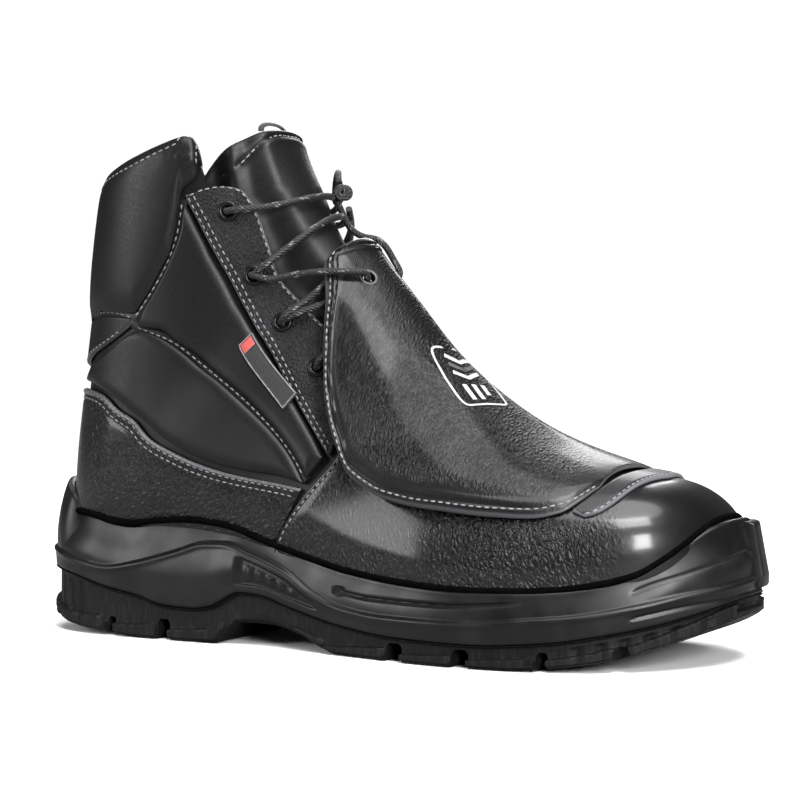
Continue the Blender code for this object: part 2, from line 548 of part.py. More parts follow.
PARTING = [Level(0.0, 0.80), Level(0.03, 0.79), Level(0.08, 0.737), Level(0.14, 0.612), Level(0.197, 0.519),
           Level(0.237, 0.42), Level(0.28, 0.405), Level(0.31, 0.444), Level(0.335, 0.56), Level(0.355, 0.64),
           Level(0.383, 0.63), Level(0.437, 0.50), Level(0.513, 0.35), Level(0.60, 0.275), Level(0.70, 0.265),
           Level(0.80, 0.32), Level(0.87, 0.42), Level(0.91, 0.50), Level(0.953, 0.62), Level(0.983, 0.73),
           Level(1.0, 0.80)]
GROUND = [Level(0.0, 0.34), Level(0.025, 0.20), Level(0.07, 0.10), Level(0.14, 0.04), Level(0.20, 0.0), Level(0.315, 0.0),
          Level(0.332, 0.12), Level(0.35, 0.27), Level(0.39, 0.26), Level(0.44, 0.18), Level(0.48, 0.06),
          Level(0.505, 0.0), Level(0.75, 0.0), Level(0.80, 0.03), Level(0.86, 0.10), Level(0.91, 0.22),
          Level(0.955, 0.38), Level(1.0, 0.58)]
LEAN = [Level(0.0, 0.20), Level(0.10, 0.15), Level(0.35, 0.13), Level(0.50, 0.05), Level(0.80, 0.03),
        Level(0.90, 0.05), Level(1.0, 0.12)]
SOLE_STEPS = 32


def eased(knots, values, at):
    """Curve through the values that never runs past them, so that flats stay flat."""
    x, y = np.asarray(knots, float), np.asarray(values, float)
    step, slope = np.diff(x), np.diff(y) / np.diff(x)
    lean = np.zeros(len(x))
    lean[0], lean[-1] = slope[0], slope[-1]
    for i in range(1, len(x) - 1):
        if slope[i - 1] * slope[i] > 0:
            lean[i] = 2 * slope[i - 1] * slope[i] / (slope[i - 1] + slope[i])
    at = np.clip(np.asarray(at, float), x[0], x[-1])
    i = np.clip(np.searchsorted(x, at, side="right") - 1, 0, len(x) - 2)
    t, h = (at - x[i]) / step[i], step[i]
    rise = y[i + 1] - y[i]
    return y[i] + rise * t * t * (3 - 2 * t) + h * t * (1 - t) * (lean[i] * (1 - t) - lean[i + 1] * t)


def level(table, along):
    rows = np.array(table, float)
    return eased(rows[:, 0], rows[:, 1], along) * SEAT_HEIGHT


def plan_edge(turn, medial):
    """Edge of the sole in plan at a turn from 0 at the heel to pi at the toe."""
    rows = np.array(SOLE_PLAN, float)
    knots = np.arccos(1 - 2 * rows[:, 0])
    offset = smooth(knots, rows[:, 1], turn)
    width = smooth(knots, rows[:, 3 if medial else 2], turn)
    side = 1 if medial else -1
    return np.stack([-0.5 * SOLE_LENGTH * np.cos(turn), (offset + side * width) * BALL_WIDTH], axis=-1)


def plan_inset(turn, medial, inset):
    """The same edge moved inwards by inset."""
    step = 0.004
    here = plan_edge(turn, medial)
    ahead = plan_edge(turn + step, medial) - plan_edge(turn - step, medial)
    side = 1 if medial else -1
    inward = np.stack([ahead[..., 1], -ahead[..., 0]], axis=-1) * side
    inward /= np.maximum(np.linalg.norm(inward, axis=-1, keepdims=True), 1e-9)
    return here + inward * np.asarray(inset)[..., None]


def sole_turns(count=SOLE_STEPS):
    return np.linspace(0.07, math.pi - 0.07, count)


def sole_body(rows, turns=None):
    """Closed solid from side rows (inset, height), each a function of the share along, bottom row first."""
    turns = sole_turns() if turns is None else turns
    along = (1 - np.cos(turns)) / 2
    count = len(turns)
    grid = []
    for inset, height in rows:
        z = height(along)
        ring = []
        for medial in (False, True):
            plan = plan_inset(turns, medial, inset(along))
            ring.append(np.column_stack([plan, z]))
        grid.append(np.concatenate([ring[0], ring[1][::-1]]))
    grid = np.array(grid)
    size = 2 * count
    faces = []
    for r in range(len(grid) - 1):
        for j in range(size):
            k = (j + 1) % size
            faces.append((r * size + j, r * size + k, (r + 1) * size + k, (r + 1) * size + j))
    top = (len(grid) - 1) * size
    for j in range(count - 1):
        a, b, c, d = j, j + 1, size - 2 - j, size - 1 - j
        faces.append((a, d, c, b))
        faces.append((top + a, top + b, top + c, top + d))
    return grid.reshape(-1, 3), faces


def midsole_rows():
    def lean(along):
        return level(LEAN, along)

    def mid(along):
        return 0.5 * (level(WAIST, along) + level(RIM, along))

    return [
        (lambda u: 0 * u + 0.0010, lambda u: level(PARTING, u)),
        (lambda u: 0 * u, lambda u: level(PARTING, u) + 0.0012),
        (lambda u: 0 * u, lambda u: np.maximum(level(WAIST, u) - 0.0016, level(PARTING, u) + 0.0024)),
        (lambda u: 0 * u + 0.0012, lambda u: np.maximum(level(WAIST, u), level(PARTING, u) + 0.0036)),
        (lambda u: 0.0008 + 0.35 * lean(u), lambda u: np.maximum(mid(u), level(WAIST, u) + 0.001)),
        (lambda u: 0.0004 + lean(u), lambda u: level(RIM, u) - 0.0012),
        (lambda u: 0.0014 + lean(u), lambda u: level(RIM, u)),
    ]


def outsole_rows():
    def floor(along):
        return level(GROUND, along)

    def ledge(along):
        arch = np.exp(-(((along - 0.40) / 0.065) ** 2))
        return floor(along) + 0.0014 + 0.0030 * arch

    def under(along):
        return 0.0016 + 0.0045 * np.exp(-(((along - 0.40) / 0.065) ** 2))

    return [
        (under, floor),
        (lambda u: 0 * u + 0.0002, ledge),
        (lambda u: 0 * u - 0.0004, lambda u: level(PARTING, u) - 0.0016),
        (lambda u: 0 * u + 0.0006, lambda u: level(PARTING, u) - 0.0003),
    ]


Groove = namedtuple("Groove", "start_x start_y end_x end_y width depth")
# Channels cut up into the tread. Places from the middle and widths are shares of SOLE_LENGTH along
# the boot and of BALL_WIDTH across it, and depths are shares of SEAT_HEIGHT.
GROOVES = [
    Groove(-0.367, -0.556, -0.333, -0.157, 0.014, 0.234), Groove(-0.277, -0.556, -0.253, -0.157, 0.020, 0.250),
    Groove(-0.367, 0.556, -0.333, 0.157, 0.014, 0.234), Groove(-0.277, 0.556, -0.253, 0.157, 0.020, 0.250),
    Groove(-0.447, 0.000, -0.163, 0.000, 0.017, 0.188), Groove(-0.387, -0.148, -0.313, 0.148, 0.012, 0.188),
    Groove(-0.300, -0.148, -0.227, 0.148, 0.012, 0.188), Groove(0.083, -0.648, 0.120, -0.185, 0.025, 0.212),
    Groove(0.183, -0.648, 0.213, -0.185, 0.023, 0.206), Groove(0.288, -0.648, 0.307, -0.185, 0.014, 0.219),
    Groove(0.387, -0.556, 0.383, -0.148, 0.019, 0.297), Groove(0.060, 0.648, 0.107, 0.241, 0.023, 0.212),
    Groove(0.167, 0.648, 0.207, 0.259, 0.023, 0.206), Groove(0.277, 0.648, 0.303, 0.259, 0.017, 0.219),
    Groove(0.387, 0.611, 0.383, 0.241, 0.019, 0.297), Groove(0.020, 0.037, 0.440, 0.046, 0.017, 0.188),
    Groove(0.053, -0.167, 0.133, 0.222, 0.013, 0.188), Groove(0.153, -0.176, 0.233, 0.250, 0.013, 0.188),
    Groove(0.257, -0.176, 0.330, 0.250, 0.013, 0.188),
]
GROOVE_START = -0.004
GROOVE_TAPER = (0.62, 0.42)


def groove_boxes():
    """All tread channels as one mesh of tapered bars."""
    points, faces = [], []
    for groove in GROOVES:
        start = np.array([groove.start_x * SOLE_LENGTH, groove.start_y * BALL_WIDTH])
        end = np.array([groove.end_x * SOLE_LENGTH, groove.end_y * BALL_WIDTH])
        width, depth = groove.width * SOLE_LENGTH, groove.depth * SEAT_HEIGHT
        along = (end - start) / np.linalg.norm(end - start)
        across = np.array([-along[1], along[0]])
        base = len(points)
        for z, half in ((GROOVE_START, GROOVE_TAPER[0] * width), (depth, GROOVE_TAPER[1] * width)):
            for corner, side in ((start, -1), (start, 1), (end, 1), (end, -1)):
                points.append([*(corner + side * half * across), z])
        box = [(0, 1, 2, 3), (7, 6, 5, 4), (0, 4, 5, 1), (1, 5, 6, 2), (2, 6, 7, 3), (3, 7, 4, 0)]
        faces += [tuple(base + k for k in face) for face in box]
    points = np.array(points)
    first = points[:8]
    volume = sum(float(np.dot(first[f[0]], np.cross(first[f[a]], first[f[a + 1]]))) for f in faces[:6] for a in (1, 2))
    if volume < 0:
        faces = [face[::-1] for face in faces]
    return points, faces


def insole_slab():
    stations = [1.9, 2.5, 3.2, 4, 5, 6.2, 7.5, 8.7, 9.8, 10.8, 11.8, 12.5, 13.0]
    outer, inner = [], []
    for s in stations:
        feather = feather_girth(min(s, OPEN_FLOOR[1])) + 0.035
        girth = np.linspace(feather, 2 - feather, 7)
        outer.append(last_at(np.full(7, s), girth, INSOLE_LIFT))
        inner.append(last_at(np.full(7, s), girth, INSOLE_LIFT - INSOLE_THICK))
    return shell(np.array(outer), np.array(inner))


TabRow = namedtuple("TabRow", "inset rise")
# Section of the heel tab: insets as shares of TAB_DEPTH, and rises as shares of the way from
# TAB_FOOT to its top. The tab drops towards its sides.
TAB = [TabRow(0.15, 0.0), TabRow(0.10, 0.32), TabRow(0.28, 0.66), TabRow(0.61, 0.96), TabRow(0.80, 1.0),
       TabRow(1.0, 0.97), TabRow(0.80, 0.66), TabRow(0.59, 0.32), TabRow(0.59, 0.0)]
# Heights of the tab and the scuff strip as shares of SEAT_HEIGHT.
TAB_FOOT, TAB_TOP, TAB_FALL = 0.94, 1.92, 0.47
SCUFF = [Level(0.375, 0.86), Level(0.875, 0.95), Level(1.0, 1.19), Level(0.875, 1.44), Level(0.375, 1.58)]
SCUFF_CENTRE, SCUFF_HALF, SCUFF_ROOT = 0.10, 0.10, 1.75


def heel_tab():
    """Kick-off ledge behind the heel, lower at its sides, joined into the midsole."""
    foot = TAB_FOOT * SEAT_HEIGHT
    rings = []
    for turn in np.linspace(-1, 1, 13):
        top = (TAB_TOP - TAB_FALL * abs(turn) ** 2.6) * SEAT_HEIGHT
        place = abs(turn) * 0.62 + 0.012
        ring = []
        for row in TAB:
            plan = plan_inset(np.array(place), turn > 0, np.array(row.inset * TAB_DEPTH))
            ring.append([plan[0], plan[1], foot + row.rise * (top - foot)])
        rings.append(ring)
    return tube(np.array(rings))


def scuff_strip():
    """Raised band up the front of the toe bumper, a little to the inner side of the tip.

    Each row holds how far the band stands off, as a share of SCUFF_STAND, and its height.
    """
    rings = []
    toe_lean = level(LEAN, 1.0)
    low, high = level(WAIST, 1.0), level(RIM, 1.0)
    for row in SCUFF:
        z = row.height * SEAT_HEIGHT
        lean = float(np.interp(z, (low, high), (0.0, toe_lean)))
        out, root = row.along * SCUFF_STAND, -SCUFF_ROOT * SCUFF_STAND
        ring = []
        for offset, stand in ((-SCUFF_HALF, root), (-SCUFF_HALF, out), (SCUFF_HALF, out), (SCUFF_HALF, root)):
            turn = math.pi - abs(SCUFF_CENTRE + offset)
            plan = plan_inset(np.array(turn), SCUFF_CENTRE + offset > 0, np.array(lean - stand))
            ring.append([plan[0], plan[1], z])
        rings.append(ring)
    return tube(np.array(rings))


def disc_frame(hole, side, lift):
    """Centre, two directions in the skin and the outward normal at an eyelet."""
    girth = side * hole.girth
    centre = last_at(hole.station, girth, lift)
    along = bare_last(hole.station + 0.1, girth) - bare_last(hole.station - 0.1, girth)
    along /= np.linalg.norm(along)
    normal = last_at(hole.station, girth, lift + 0.001) - centre
    normal /= np.linalg.norm(normal)
    return centre, along, np.cross(normal, along), normal


def eyelet_ring(hole, side, sides=7):
    """A flat metal ring that lies on the eyestay round its hole."""
    centre, along, across, normal = disc_frame(hole, side, EYESTAY_LIFT + GAP)
    section = ((EYELET_EDGE, 0.0), (0.9 * EYELET_EDGE, 0.8 * EYELET_STAND),
               (EYELET_BORE + GAP, EYELET_STAND), (EYELET_BORE, 0.0))
    rings = []
    for k in range(sides):
        turn = 2 * math.pi * k / sides
        out = math.cos(turn) * along + math.sin(turn) * across
        rings.append([centre + out * radius + normal * height for radius, height in section])
    return tube(np.array(rings), wrap=True)


def drills(holes, radius, low, high, sides=8):
    """Round cutters through the skin at each hole, on both sides, as one mesh."""
    points, faces = [], []
    for hole in holes:
        for side in (-1, 1):
            centre, along, across, normal = disc_frame(hole, side, 0.0)
            turns = [2 * math.pi * k / sides for k in range(sides)]
            ring = np.array([radius * (math.cos(turn) * along + math.sin(turn) * across) for turn in turns])
            body_points, body_faces = tube(np.array([centre + normal * low + ring, centre + normal * high + ring]))
            faces += [tuple(len(points) + k for k in face) for face in body_faces]
            points += body_points.tolist()
    return np.array(points), faces


def pipe(path, radius, sides=6):
    """Round solid along a list of points, with flat ends."""
    path = np.asarray(path, float)
    ahead = np.gradient(path, axis=0)
    ahead /= np.linalg.norm(ahead, axis=1, keepdims=True)
    up = np.cross(ahead[0], (0.3, 0.5, 0.8))
    rings = []
    turns = [2 * math.pi * k / sides for k in range(sides)]
    for point, way in zip(path, ahead):
        up = up - way * np.dot(up, way)
        up /= np.linalg.norm(up)
        other = np.cross(way, up)
        rings.append([point + radius * (math.cos(turn) * up + math.sin(turn) * other) for turn in turns])
    return tube(np.array(rings))


def lace_path(start, end, dip, joined, count=7):
    """Centre line of a lace between two eyelets, over the tongue.

    An end that isn't joined to another strand turns down into its eyelet.
    """
    trim = 0.02 if joined else 0.045
    at_eyelet = 3 * LACE_RADIUS
    share = np.linspace(trim, 1 - trim, count)
    rise = np.sin(math.pi * share)
    station = start[0] + (end[0] - start[0]) * share - dip * rise
    girth = start[1] + (end[1] - start[1]) * share
    lift = at_eyelet + (LACE_LIFT + 0.5 * LACE_RADIUS - at_eyelet) * rise
    if not joined:
        station = np.concatenate([[start[0], start[0]], station, [end[0], end[0]]])
        girth = np.concatenate([[start[1], start[1]], girth, [end[1], end[1]]])
        lift = np.concatenate([[LACE_LOW, LACE_LIFT], lift, [LACE_LIFT, LACE_LOW]])
    return last_at(station, girth, lift)


def lace_tube(strand):
    first, last = EYELETS[strand.eyelet], EYELETS[strand.to_eyelet]
    start = (first.station, strand.side * first.girth)
    end = (last.station, strand.to_side * last.girth)
    return pipe(lace_path(start, end, strand.dip, strand.eyelet != strand.to_eyelet), LACE_RADIUS)


def smooth_path(points, count):
    points = np.asarray(points, float)
    knots = np.concatenate([[0], np.cumsum(np.linalg.norm(np.diff(points, axis=0), axis=1))])
    at = np.linspace(0, knots[-1], count)
    return np.stack([smooth(knots, points[:, k], at) for k in range(3)], axis=1)


Strand = namedtuple("Strand", "eyelet side to_eyelet to_side dip")
# Laces between the eyelets. Their stations dip on the way, which keeps them level.
LACING = [
    Strand(0, -1, 0, 1, 0.95), Strand(1, -1, 0, 1, 0.75), Strand(2, -1, 2, 1, 1.05), Strand(3, -1, 3, 1, 0.50),
    Strand(2, -1, 1, 1, 1.0), Strand(3, -1, 2, 1, 0.8),
]
Turn = namedtuple("Turn", "station girth lift")
# Two strands run over the edge of the guard and down its holes.
HOLE_STRANDS = [
    [Turn(14.98, -0.214, 0.0010), Turn(14.98, -0.214, 0.0032), Turn(14.85, -0.206, 0.0044),
     Turn(14.5, -0.188, 0.0046), Turn(13.9, -0.152, 0.0064), Turn(13.2, -0.116, 0.0114),
     Turn(12.75, -0.092, 0.0142), Turn(12.35, -0.068, 0.0144), Turn(12.1, -0.050, 0.0134),
     Turn(12.0, -0.044, 0.0092)],
    [Turn(16.31, 0.030, 0.0044), Turn(15.7, 0.033, 0.0044), Turn(14.7, 0.035, 0.0050), Turn(14.0, 0.036, 0.0085),
     Turn(13.62, 0.036, 0.0124), Turn(13.2, 0.037, 0.0140), Turn(12.5, 0.041, 0.0142), Turn(12.12, 0.043, 0.0132),
     Turn(12.0, 0.044, 0.0092)],
]
KNOT = [Turn(16.22, 0.000, 0.0088), Turn(16.32, 0.026, 0.0092), Turn(16.42, 0.050, 0.0086)]
LOOPS = {
    "lace_loop_upper": [Turn(16.80, 0.045, 0.0080), Turn(17.10, 0.060, 0.0082), Turn(17.55, 0.100, 0.0090),
                        Turn(17.60, 0.160, 0.0088), Turn(17.20, 0.175, 0.0080), Turn(16.80, 0.105, 0.0078)],
    "lace_loop_lower": [Turn(16.10, 0.075, 0.0075), Turn(15.85, 0.130, 0.0092), Turn(15.60, 0.200, 0.0092),
                        Turn(15.25, 0.215, 0.0085), Turn(15.25, 0.160, 0.0080), Turn(15.75, 0.090, 0.0072)],
}


def pull_path():
    """Arch of the small loop that stands on the middle of the tongue's top edge."""
    seat = last_at(TONGUE[-1].station, 0.0, 0.5 * GAP - TONGUE_THICK) + PULL_RADIUS * np.array([-1, 0, 1])
    turns = np.linspace(0, math.pi, 11)
    arch = np.stack([-np.sin(turns) / 3, np.zeros(11), np.sin(turns)], 1) * PULL_RISE
    arch[:, 1] = PULL_SPREAD * np.cos(turns)
    return seat + arch


def principled(name, colour, roughness, metallic=0.0):
    material = bpy.data.materials.new(name)
    material.use_nodes = True
    shader = material.node_tree.nodes["Principled BSDF"]
    shader.inputs["Base Color"].default_value = (*colour, 1)
    shader.inputs["Roughness"].default_value = roughness
    shader.inputs["Metallic"].default_value = metallic
    return material


def cut(body, cutter, operation="DIFFERENCE"):
    modifier = body.modifiers.new(cutter.name, "BOOLEAN")
    modifier.operation = operation
    modifier.solver = "EXACT"
    modifier.use_self = cutter.name in ("tread_cutter", "tab_joint", "scuff_joint", "cavity_cutter")
    modifier.object = cutter


def build():
    for body in list(bpy.data.objects):
        bpy.data.objects.remove(body)
    boot = bpy.data.collections.new("metatarsal_guard_boot")
    cutters = bpy.data.collections.new("cutters")
    bpy.context.scene.collection.children.link(boot)
    bpy.context.scene.collection.children.link(cutters)

    leather = principled("full_grain_leather", (0.020, 0.020, 0.021), 0.42)
    smooth_leather = principled("smooth_leather", (0.026, 0.026, 0.027), 0.5)
    lining = principled("lining", (0.05, 0.05, 0.052), 0.9)
    foam = principled("polyurethane", (0.018, 0.018, 0.019), 0.45)
    rubber = principled("rubber", (0.016, 0.016, 0.016), 0.6)
    cord = principled("lace", (0.022, 0.022, 0.024), 0.85)
    metal = principled("eyelet_metal", (0.03, 0.03, 0.032), 0.35, 1.0)
    ribbon = principled("woven_tag", (0.03, 0.02, 0.02), 0.8)

    def node(name, shape, material):
        return add_object(name, boot, *shape, material)

    def cutter(name, shape):
        body = add_object(name, cutters, *shape)
        body.hide_render = True
        body.display_type = "WIRE"
        return body

    cavity = cutter("cavity_cutter", last_form(CAVITY_LIFT))
    tread = cutter("tread_cutter", groove_boxes())
    reach = 4 * WALL
    eyelet_holes = cutter("eyelet_cutter", drills(EYELETS, EYELET_BORE, -reach, reach))
    lowest, highest = GUARD[0].outer, 1.3 * max(row.outer for row in GUARD)
    guard_holes = cutter("guard_cutter", drills([GUARD_HOLE], GUARD_BORE, lowest, highest))
    tab = cutter("tab_joint", heel_tab())
    scuff = cutter("scuff_joint", scuff_strip())

    outsole = node("outsole", sole_body(outsole_rows()), rubber)
    cut(outsole, tread)
    midsole = node("midsole", sole_body(midsole_rows()), foam)
    cut(midsole, tab, "UNION")
    cut(midsole, scuff, "UNION")
    cut(midsole, cavity)
    node("insole", insole_slab(), lining)

    upper = node("upper", upper_shell(), smooth_leather)
    cut(upper, eyelet_holes)
    node("vamp", vamp_shell(), leather)
    node("counter", wrapped_piece(COUNTER, 15, COUNTER_ACROSS, SEWN_LIFT + GAP, COUNTER_LIFT), leather)
    node("back_band", wrapped_piece(BACK_BAND, 9, (0, 0.5, 1), SEWN_LIFT, BAND_LIFT), smooth_leather)
    node("collar_pad", collar_pad(), smooth_leather)
    node("tongue", tongue_shell(), smooth_leather)
    guard = node("metatarsal_guard", guard_shell(), leather)
    cut(guard, guard_holes)
    for side, word in ((-1, "lateral"), (1, "medial")):
        stay = sewn_piece(EYESTAY, side, 16, (0, 0.33, 0.67, 1), SEWN_LIFT, EYESTAY_LIFT)
        cut(node("eyestay_" + word, stay, leather), eyelet_holes)
        for name, table, count in (("quarter_pad_", QUARTER, 13), ("ankle_pad_", ANKLE, 12)):
            pad = sewn_piece(table, side, count, PAD_ACROSS, SEWN_LIFT, PAD_LIFT, PAD_PROFILE)
            node(name + word, pad, smooth_leather)
        for number, hole in enumerate(EYELETS, 1):
            node(f"eyelet_{word}_{number}", eyelet_ring(hole, side), metal)
    node("side_tag", sewn_piece(TAG, -1, 7, (0, 0.5, 1), PAD_LIFT + GAP, PAD_LIFT + 3 * GAP), ribbon)

    strip_a = [Run(r.station_a, -r.girth_a, r.station_b, -r.girth_b) for r in STRIP[::-1]]
    strip = sewn_piece(strip_a + STRIP, 1, 17, (0, 0.5, 1), VAMP_LIFT + GAP, VAMP_LIFT + 4.5 * GAP)
    node("guard_strip", strip, leather)

    upper_strands = [lace_tube(strand) for strand in LACING[:2]]
    upper_strands += [pipe(smooth_path([last_at(*turn) for turn in turns], 11), LACE_RADIUS) for turns in HOLE_STRANDS]
    lower_strands = [lace_tube(strand) for strand in LACING[2:]]
    for name, strands in (("laces_upper", upper_strands), ("laces_lower", lower_strands)):
        laces = node(name, strands[0], cord)
        for number, shape in enumerate(strands[1:], 1):
            cut(laces, cutter(f"{name}_joint_{number}", shape), "UNION")
    knot = [last_at(t.station, t.girth, t.lift) for t in KNOT]
    node("lace_knot", pipe(smooth_path(knot, 4), KNOT_RADIUS, 8), cord)
    for name, turns in LOOPS.items():
        loop = [last_at(t.station, t.girth, t.lift) for t in turns]
        node(name, pipe(smooth_path(loop, 11), LACE_RADIUS), cord)

    node("tongue_pull", pipe(pull_path(), PULL_RADIUS), smooth_leather)


build()
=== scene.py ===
"""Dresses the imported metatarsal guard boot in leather, foam, rubber and cord.

Metres, in the frame's own axes: +X to the toe, +Y to the inner side, +Z up. Each
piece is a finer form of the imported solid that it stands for, read from the same
last. A place on the last is a station, from 0 at the toe tip to 20 at the collar,
and a girth, from 0 on the ridge to -1 down the outer side or 1 down the inner side.
"""

import logging
import math
from collections.abc import Callable, Sequence
from dataclasses import dataclass, field
from enum import Enum
from typing import NamedTuple

import bpy
import numpy as np
from mathutils import Matrix, Vector
from mathutils.bvhtree import BVHTree


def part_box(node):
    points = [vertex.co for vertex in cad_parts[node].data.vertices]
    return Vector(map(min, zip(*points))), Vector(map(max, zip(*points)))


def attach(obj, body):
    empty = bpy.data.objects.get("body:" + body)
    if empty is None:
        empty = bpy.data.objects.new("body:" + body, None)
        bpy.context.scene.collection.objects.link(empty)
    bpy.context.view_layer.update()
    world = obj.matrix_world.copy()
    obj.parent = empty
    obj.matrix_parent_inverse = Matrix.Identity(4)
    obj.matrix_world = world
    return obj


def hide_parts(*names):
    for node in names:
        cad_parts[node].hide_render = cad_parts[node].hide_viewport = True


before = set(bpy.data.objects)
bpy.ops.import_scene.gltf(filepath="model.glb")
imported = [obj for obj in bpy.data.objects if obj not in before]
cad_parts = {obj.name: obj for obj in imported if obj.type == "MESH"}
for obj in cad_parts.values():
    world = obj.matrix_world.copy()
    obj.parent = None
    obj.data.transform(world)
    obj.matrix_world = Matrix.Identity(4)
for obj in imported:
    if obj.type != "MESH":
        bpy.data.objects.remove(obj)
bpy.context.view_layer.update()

LOG = logging.getLogger("boot")
BODY = "root"
MM = 0.001


class Side(Enum):
    """The two sides of the boot, with the sign of their girths."""

    LATERAL = -1
    MEDIAL = 1


class Station(NamedTuple):
    """A section of the last, in shares of LastSize.

    bottom_x and top_x are shares of the sole's length from the heel, seat_z of the
    seat's height, back_z and top_z of the boot's height, and the half widths and the
    offset of the ball's width. crown and floor are powers of the rounding.
    """

    bottom_x: float
    seat_z: float
    back_z: float
    top_x: float
    top_z: float
    lateral: float
    medial: float
    offset: float
    wide_at: float
    crown: float
    floor: float


LAST_TABLE = (
    Station(0.972, 1.15, 0.000, 0.972, 0.220, 0.074, 0.074, 0.079, 0.50, 2.0, 2.0),
    Station(0.968, 1.02, 0.000, 0.968, 0.232, 0.139, 0.139, 0.079, 0.45, 2.2, 2.5),
    Station(0.957, 0.92, 0.000, 0.957, 0.266, 0.194, 0.204, 0.077, 0.42, 2.3, 3.0),
    Station(0.935, 0.83, 0.000, 0.935, 0.298, 0.273, 0.287, 0.074, 0.38, 2.4, 3.5),
    Station(0.902, 0.72, 0.000, 0.902, 0.322, 0.352, 0.361, 0.069, 0.36, 2.5, 4.0),
    Station(0.857, 0.59, 0.000, 0.857, 0.336, 0.412, 0.407, 0.060, 0.34, 2.5, 4.5),
    Station(0.797, 0.55, 0.000, 0.797, 0.352, 0.463, 0.426, 0.051, 0.32, 2.3, 5.0),
    Station(0.727, 0.53, 0.000, 0.733, 0.378, 0.486, 0.426, 0.039, 0.30, 2.0, 5.0),
    Station(0.650, 0.53, 0.000, 0.677, 0.418, 0.477, 0.398, 0.028, 0.28, 1.8, 5.0),
    Station(0.573, 0.58, 0.000, 0.623, 0.472, 0.440, 0.343, 0.020, 0.27, 1.7, 5.0),
    Station(0.493, 0.67, 0.000, 0.570, 0.538, 0.394, 0.300, 0.014, 0.27, 1.65, 4.5),
    Station(0.407, 0.81, 0.000, 0.520, 0.620, 0.356, 0.290, 0.007, 0.28, 1.65, 4.0),
    Station(0.293, 0.97, 0.000, 0.477, 0.692, 0.338, 0.306, 0.003, 0.30, 1.7, 3.5),
    Station(0.167, 1.00, 0.000, 0.450, 0.745, 0.338, 0.329, 0.000, 0.34, 1.8, 3.2),
    Station(0.066, 1.00, 0.015, 0.433, 0.785, 0.333, 0.333, 0.000, 0.38, 1.9, 3.0),
    Station(0.041, 1.00, 0.115, 0.420, 0.815, 0.329, 0.329, 0.000, 0.42, 2.0, 2.6),
    Station(0.044, 1.00, 0.240, 0.407, 0.850, 0.329, 0.329, 0.000, 0.45, 2.1, 2.3),
    Station(0.057, 1.00, 0.380, 0.390, 0.895, 0.333, 0.333, 0.000, 0.47, 2.2, 2.2),
    Station(0.071, 1.00, 0.510, 0.373, 0.940, 0.338, 0.338, 0.000, 0.48, 2.2, 2.2),
    Station(0.084, 1.00, 0.640, 0.357, 0.990, 0.345, 0.345, 0.000, 0.50, 2.2, 2.2),
    Station(0.096, 1.00, 0.760, 0.343, 1.030, 0.352, 0.352, 0.000, 0.50, 2.2, 2.2),
)


@dataclass(frozen=True)
class LastSize:
    """Driving sizes of the boot, in metres."""

    sole_length: float = 0.300
    ball_width: float = 0.108
    boot_height: float = 0.200
    seat_height: float = 0.032


SIZE = LastSize()


def smooth(knots: Sequence[float], values: Sequence[float], at: np.ndarray) -> np.ndarray:
    """Reads a natural cubic spline.

    Args:
        knots: Places of the values, rising.
        values: What the spline runs through.
        at: Places to read.

    Returns:
        The spline's values.
    """
    x, y = np.asarray(knots, float), np.asarray(values, float)
    step, slope = np.diff(x), np.diff(y) / np.diff(x)
    system, right = np.eye(len(x)), np.zeros(len(x))
    for i in range(1, len(x) - 1):
        system[i, i - 1 : i + 2] = step[i - 1], 2 * (step[i - 1] + step[i]), step[i]
        right[i] = 6 * (slope[i] - slope[i - 1])
    bend = np.linalg.solve(system, right)
    at = np.clip(np.asarray(at, float), x[0], x[-1])
    i = np.clip(np.searchsorted(x, at, side="right") - 1, 0, len(x) - 2)
    a, b = (x[i + 1] - at) / step[i], (at - x[i]) / step[i]
    curve = ((a**3 - a) * bend[i] + (b**3 - b) * bend[i + 1]) * step[i] ** 2 / 6
    return a * y[i] + b * y[i + 1] + curve


def eased(knots: Sequence[float], values: Sequence[float], at: np.ndarray) -> np.ndarray:
    """Reads a curve that never runs past its own values, so that flats stay flat.

    Args:
        knots: Places of the values, rising.
        values: What the curve runs through.
        at: Places to read.

    Returns:
        The curve's values.
    """
    x, y = np.asarray(knots, float), np.asarray(values, float)
    step, slope = np.diff(x), np.diff(y) / np.diff(x)
    lean = np.zeros(len(x))
    lean[0], lean[-1] = slope[0], slope[-1]
    for i in range(1, len(x) - 1):
        if slope[i - 1] * slope[i] > 0:
            lean[i] = 2 * slope[i - 1] * slope[i] / (slope[i - 1] + slope[i])
    at = np.clip(np.asarray(at, float), x[0], x[-1])
    i = np.clip(np.searchsorted(x, at, side="right") - 1, 0, len(x) - 2)
    t, h = (at - x[i]) / step[i], step[i]
    rise = y[i + 1] - y[i]
    return y[i] + rise * t * t * (3 - 2 * t) + h * t * (1 - t) * (lean[i] * (1 - t) - lean[i + 1] * t)


def step_up(value: np.ndarray, low: float, high: float) -> np.ndarray:
    """Rises smoothly from 0 at low to 1 at high, or falls where high is the smaller."""
    t = np.clip((np.asarray(value, float) - low) / (high - low), 0, 1)
    return t * t * (3 - 2 * t)


def rounded(distance: np.ndarray, radius: float) -> np.ndarray:
    """Height of a quarter round, from 0 at an edge to 1 at radius from it."""
    t = 1 - np.clip(np.asarray(distance, float) / radius, 0, 1)
    return np.sqrt(np.maximum(1 - t * t, 0))


def crowded(count: int, crowd: float = 0.6) -> np.ndarray:
    """Shares from 0 to 1 that lie closer together at both ends."""
    even = np.linspace(0, 1, count)
    return (1 - crowd) * even + crowd * (0.5 - 0.5 * np.cos(np.pi * even))


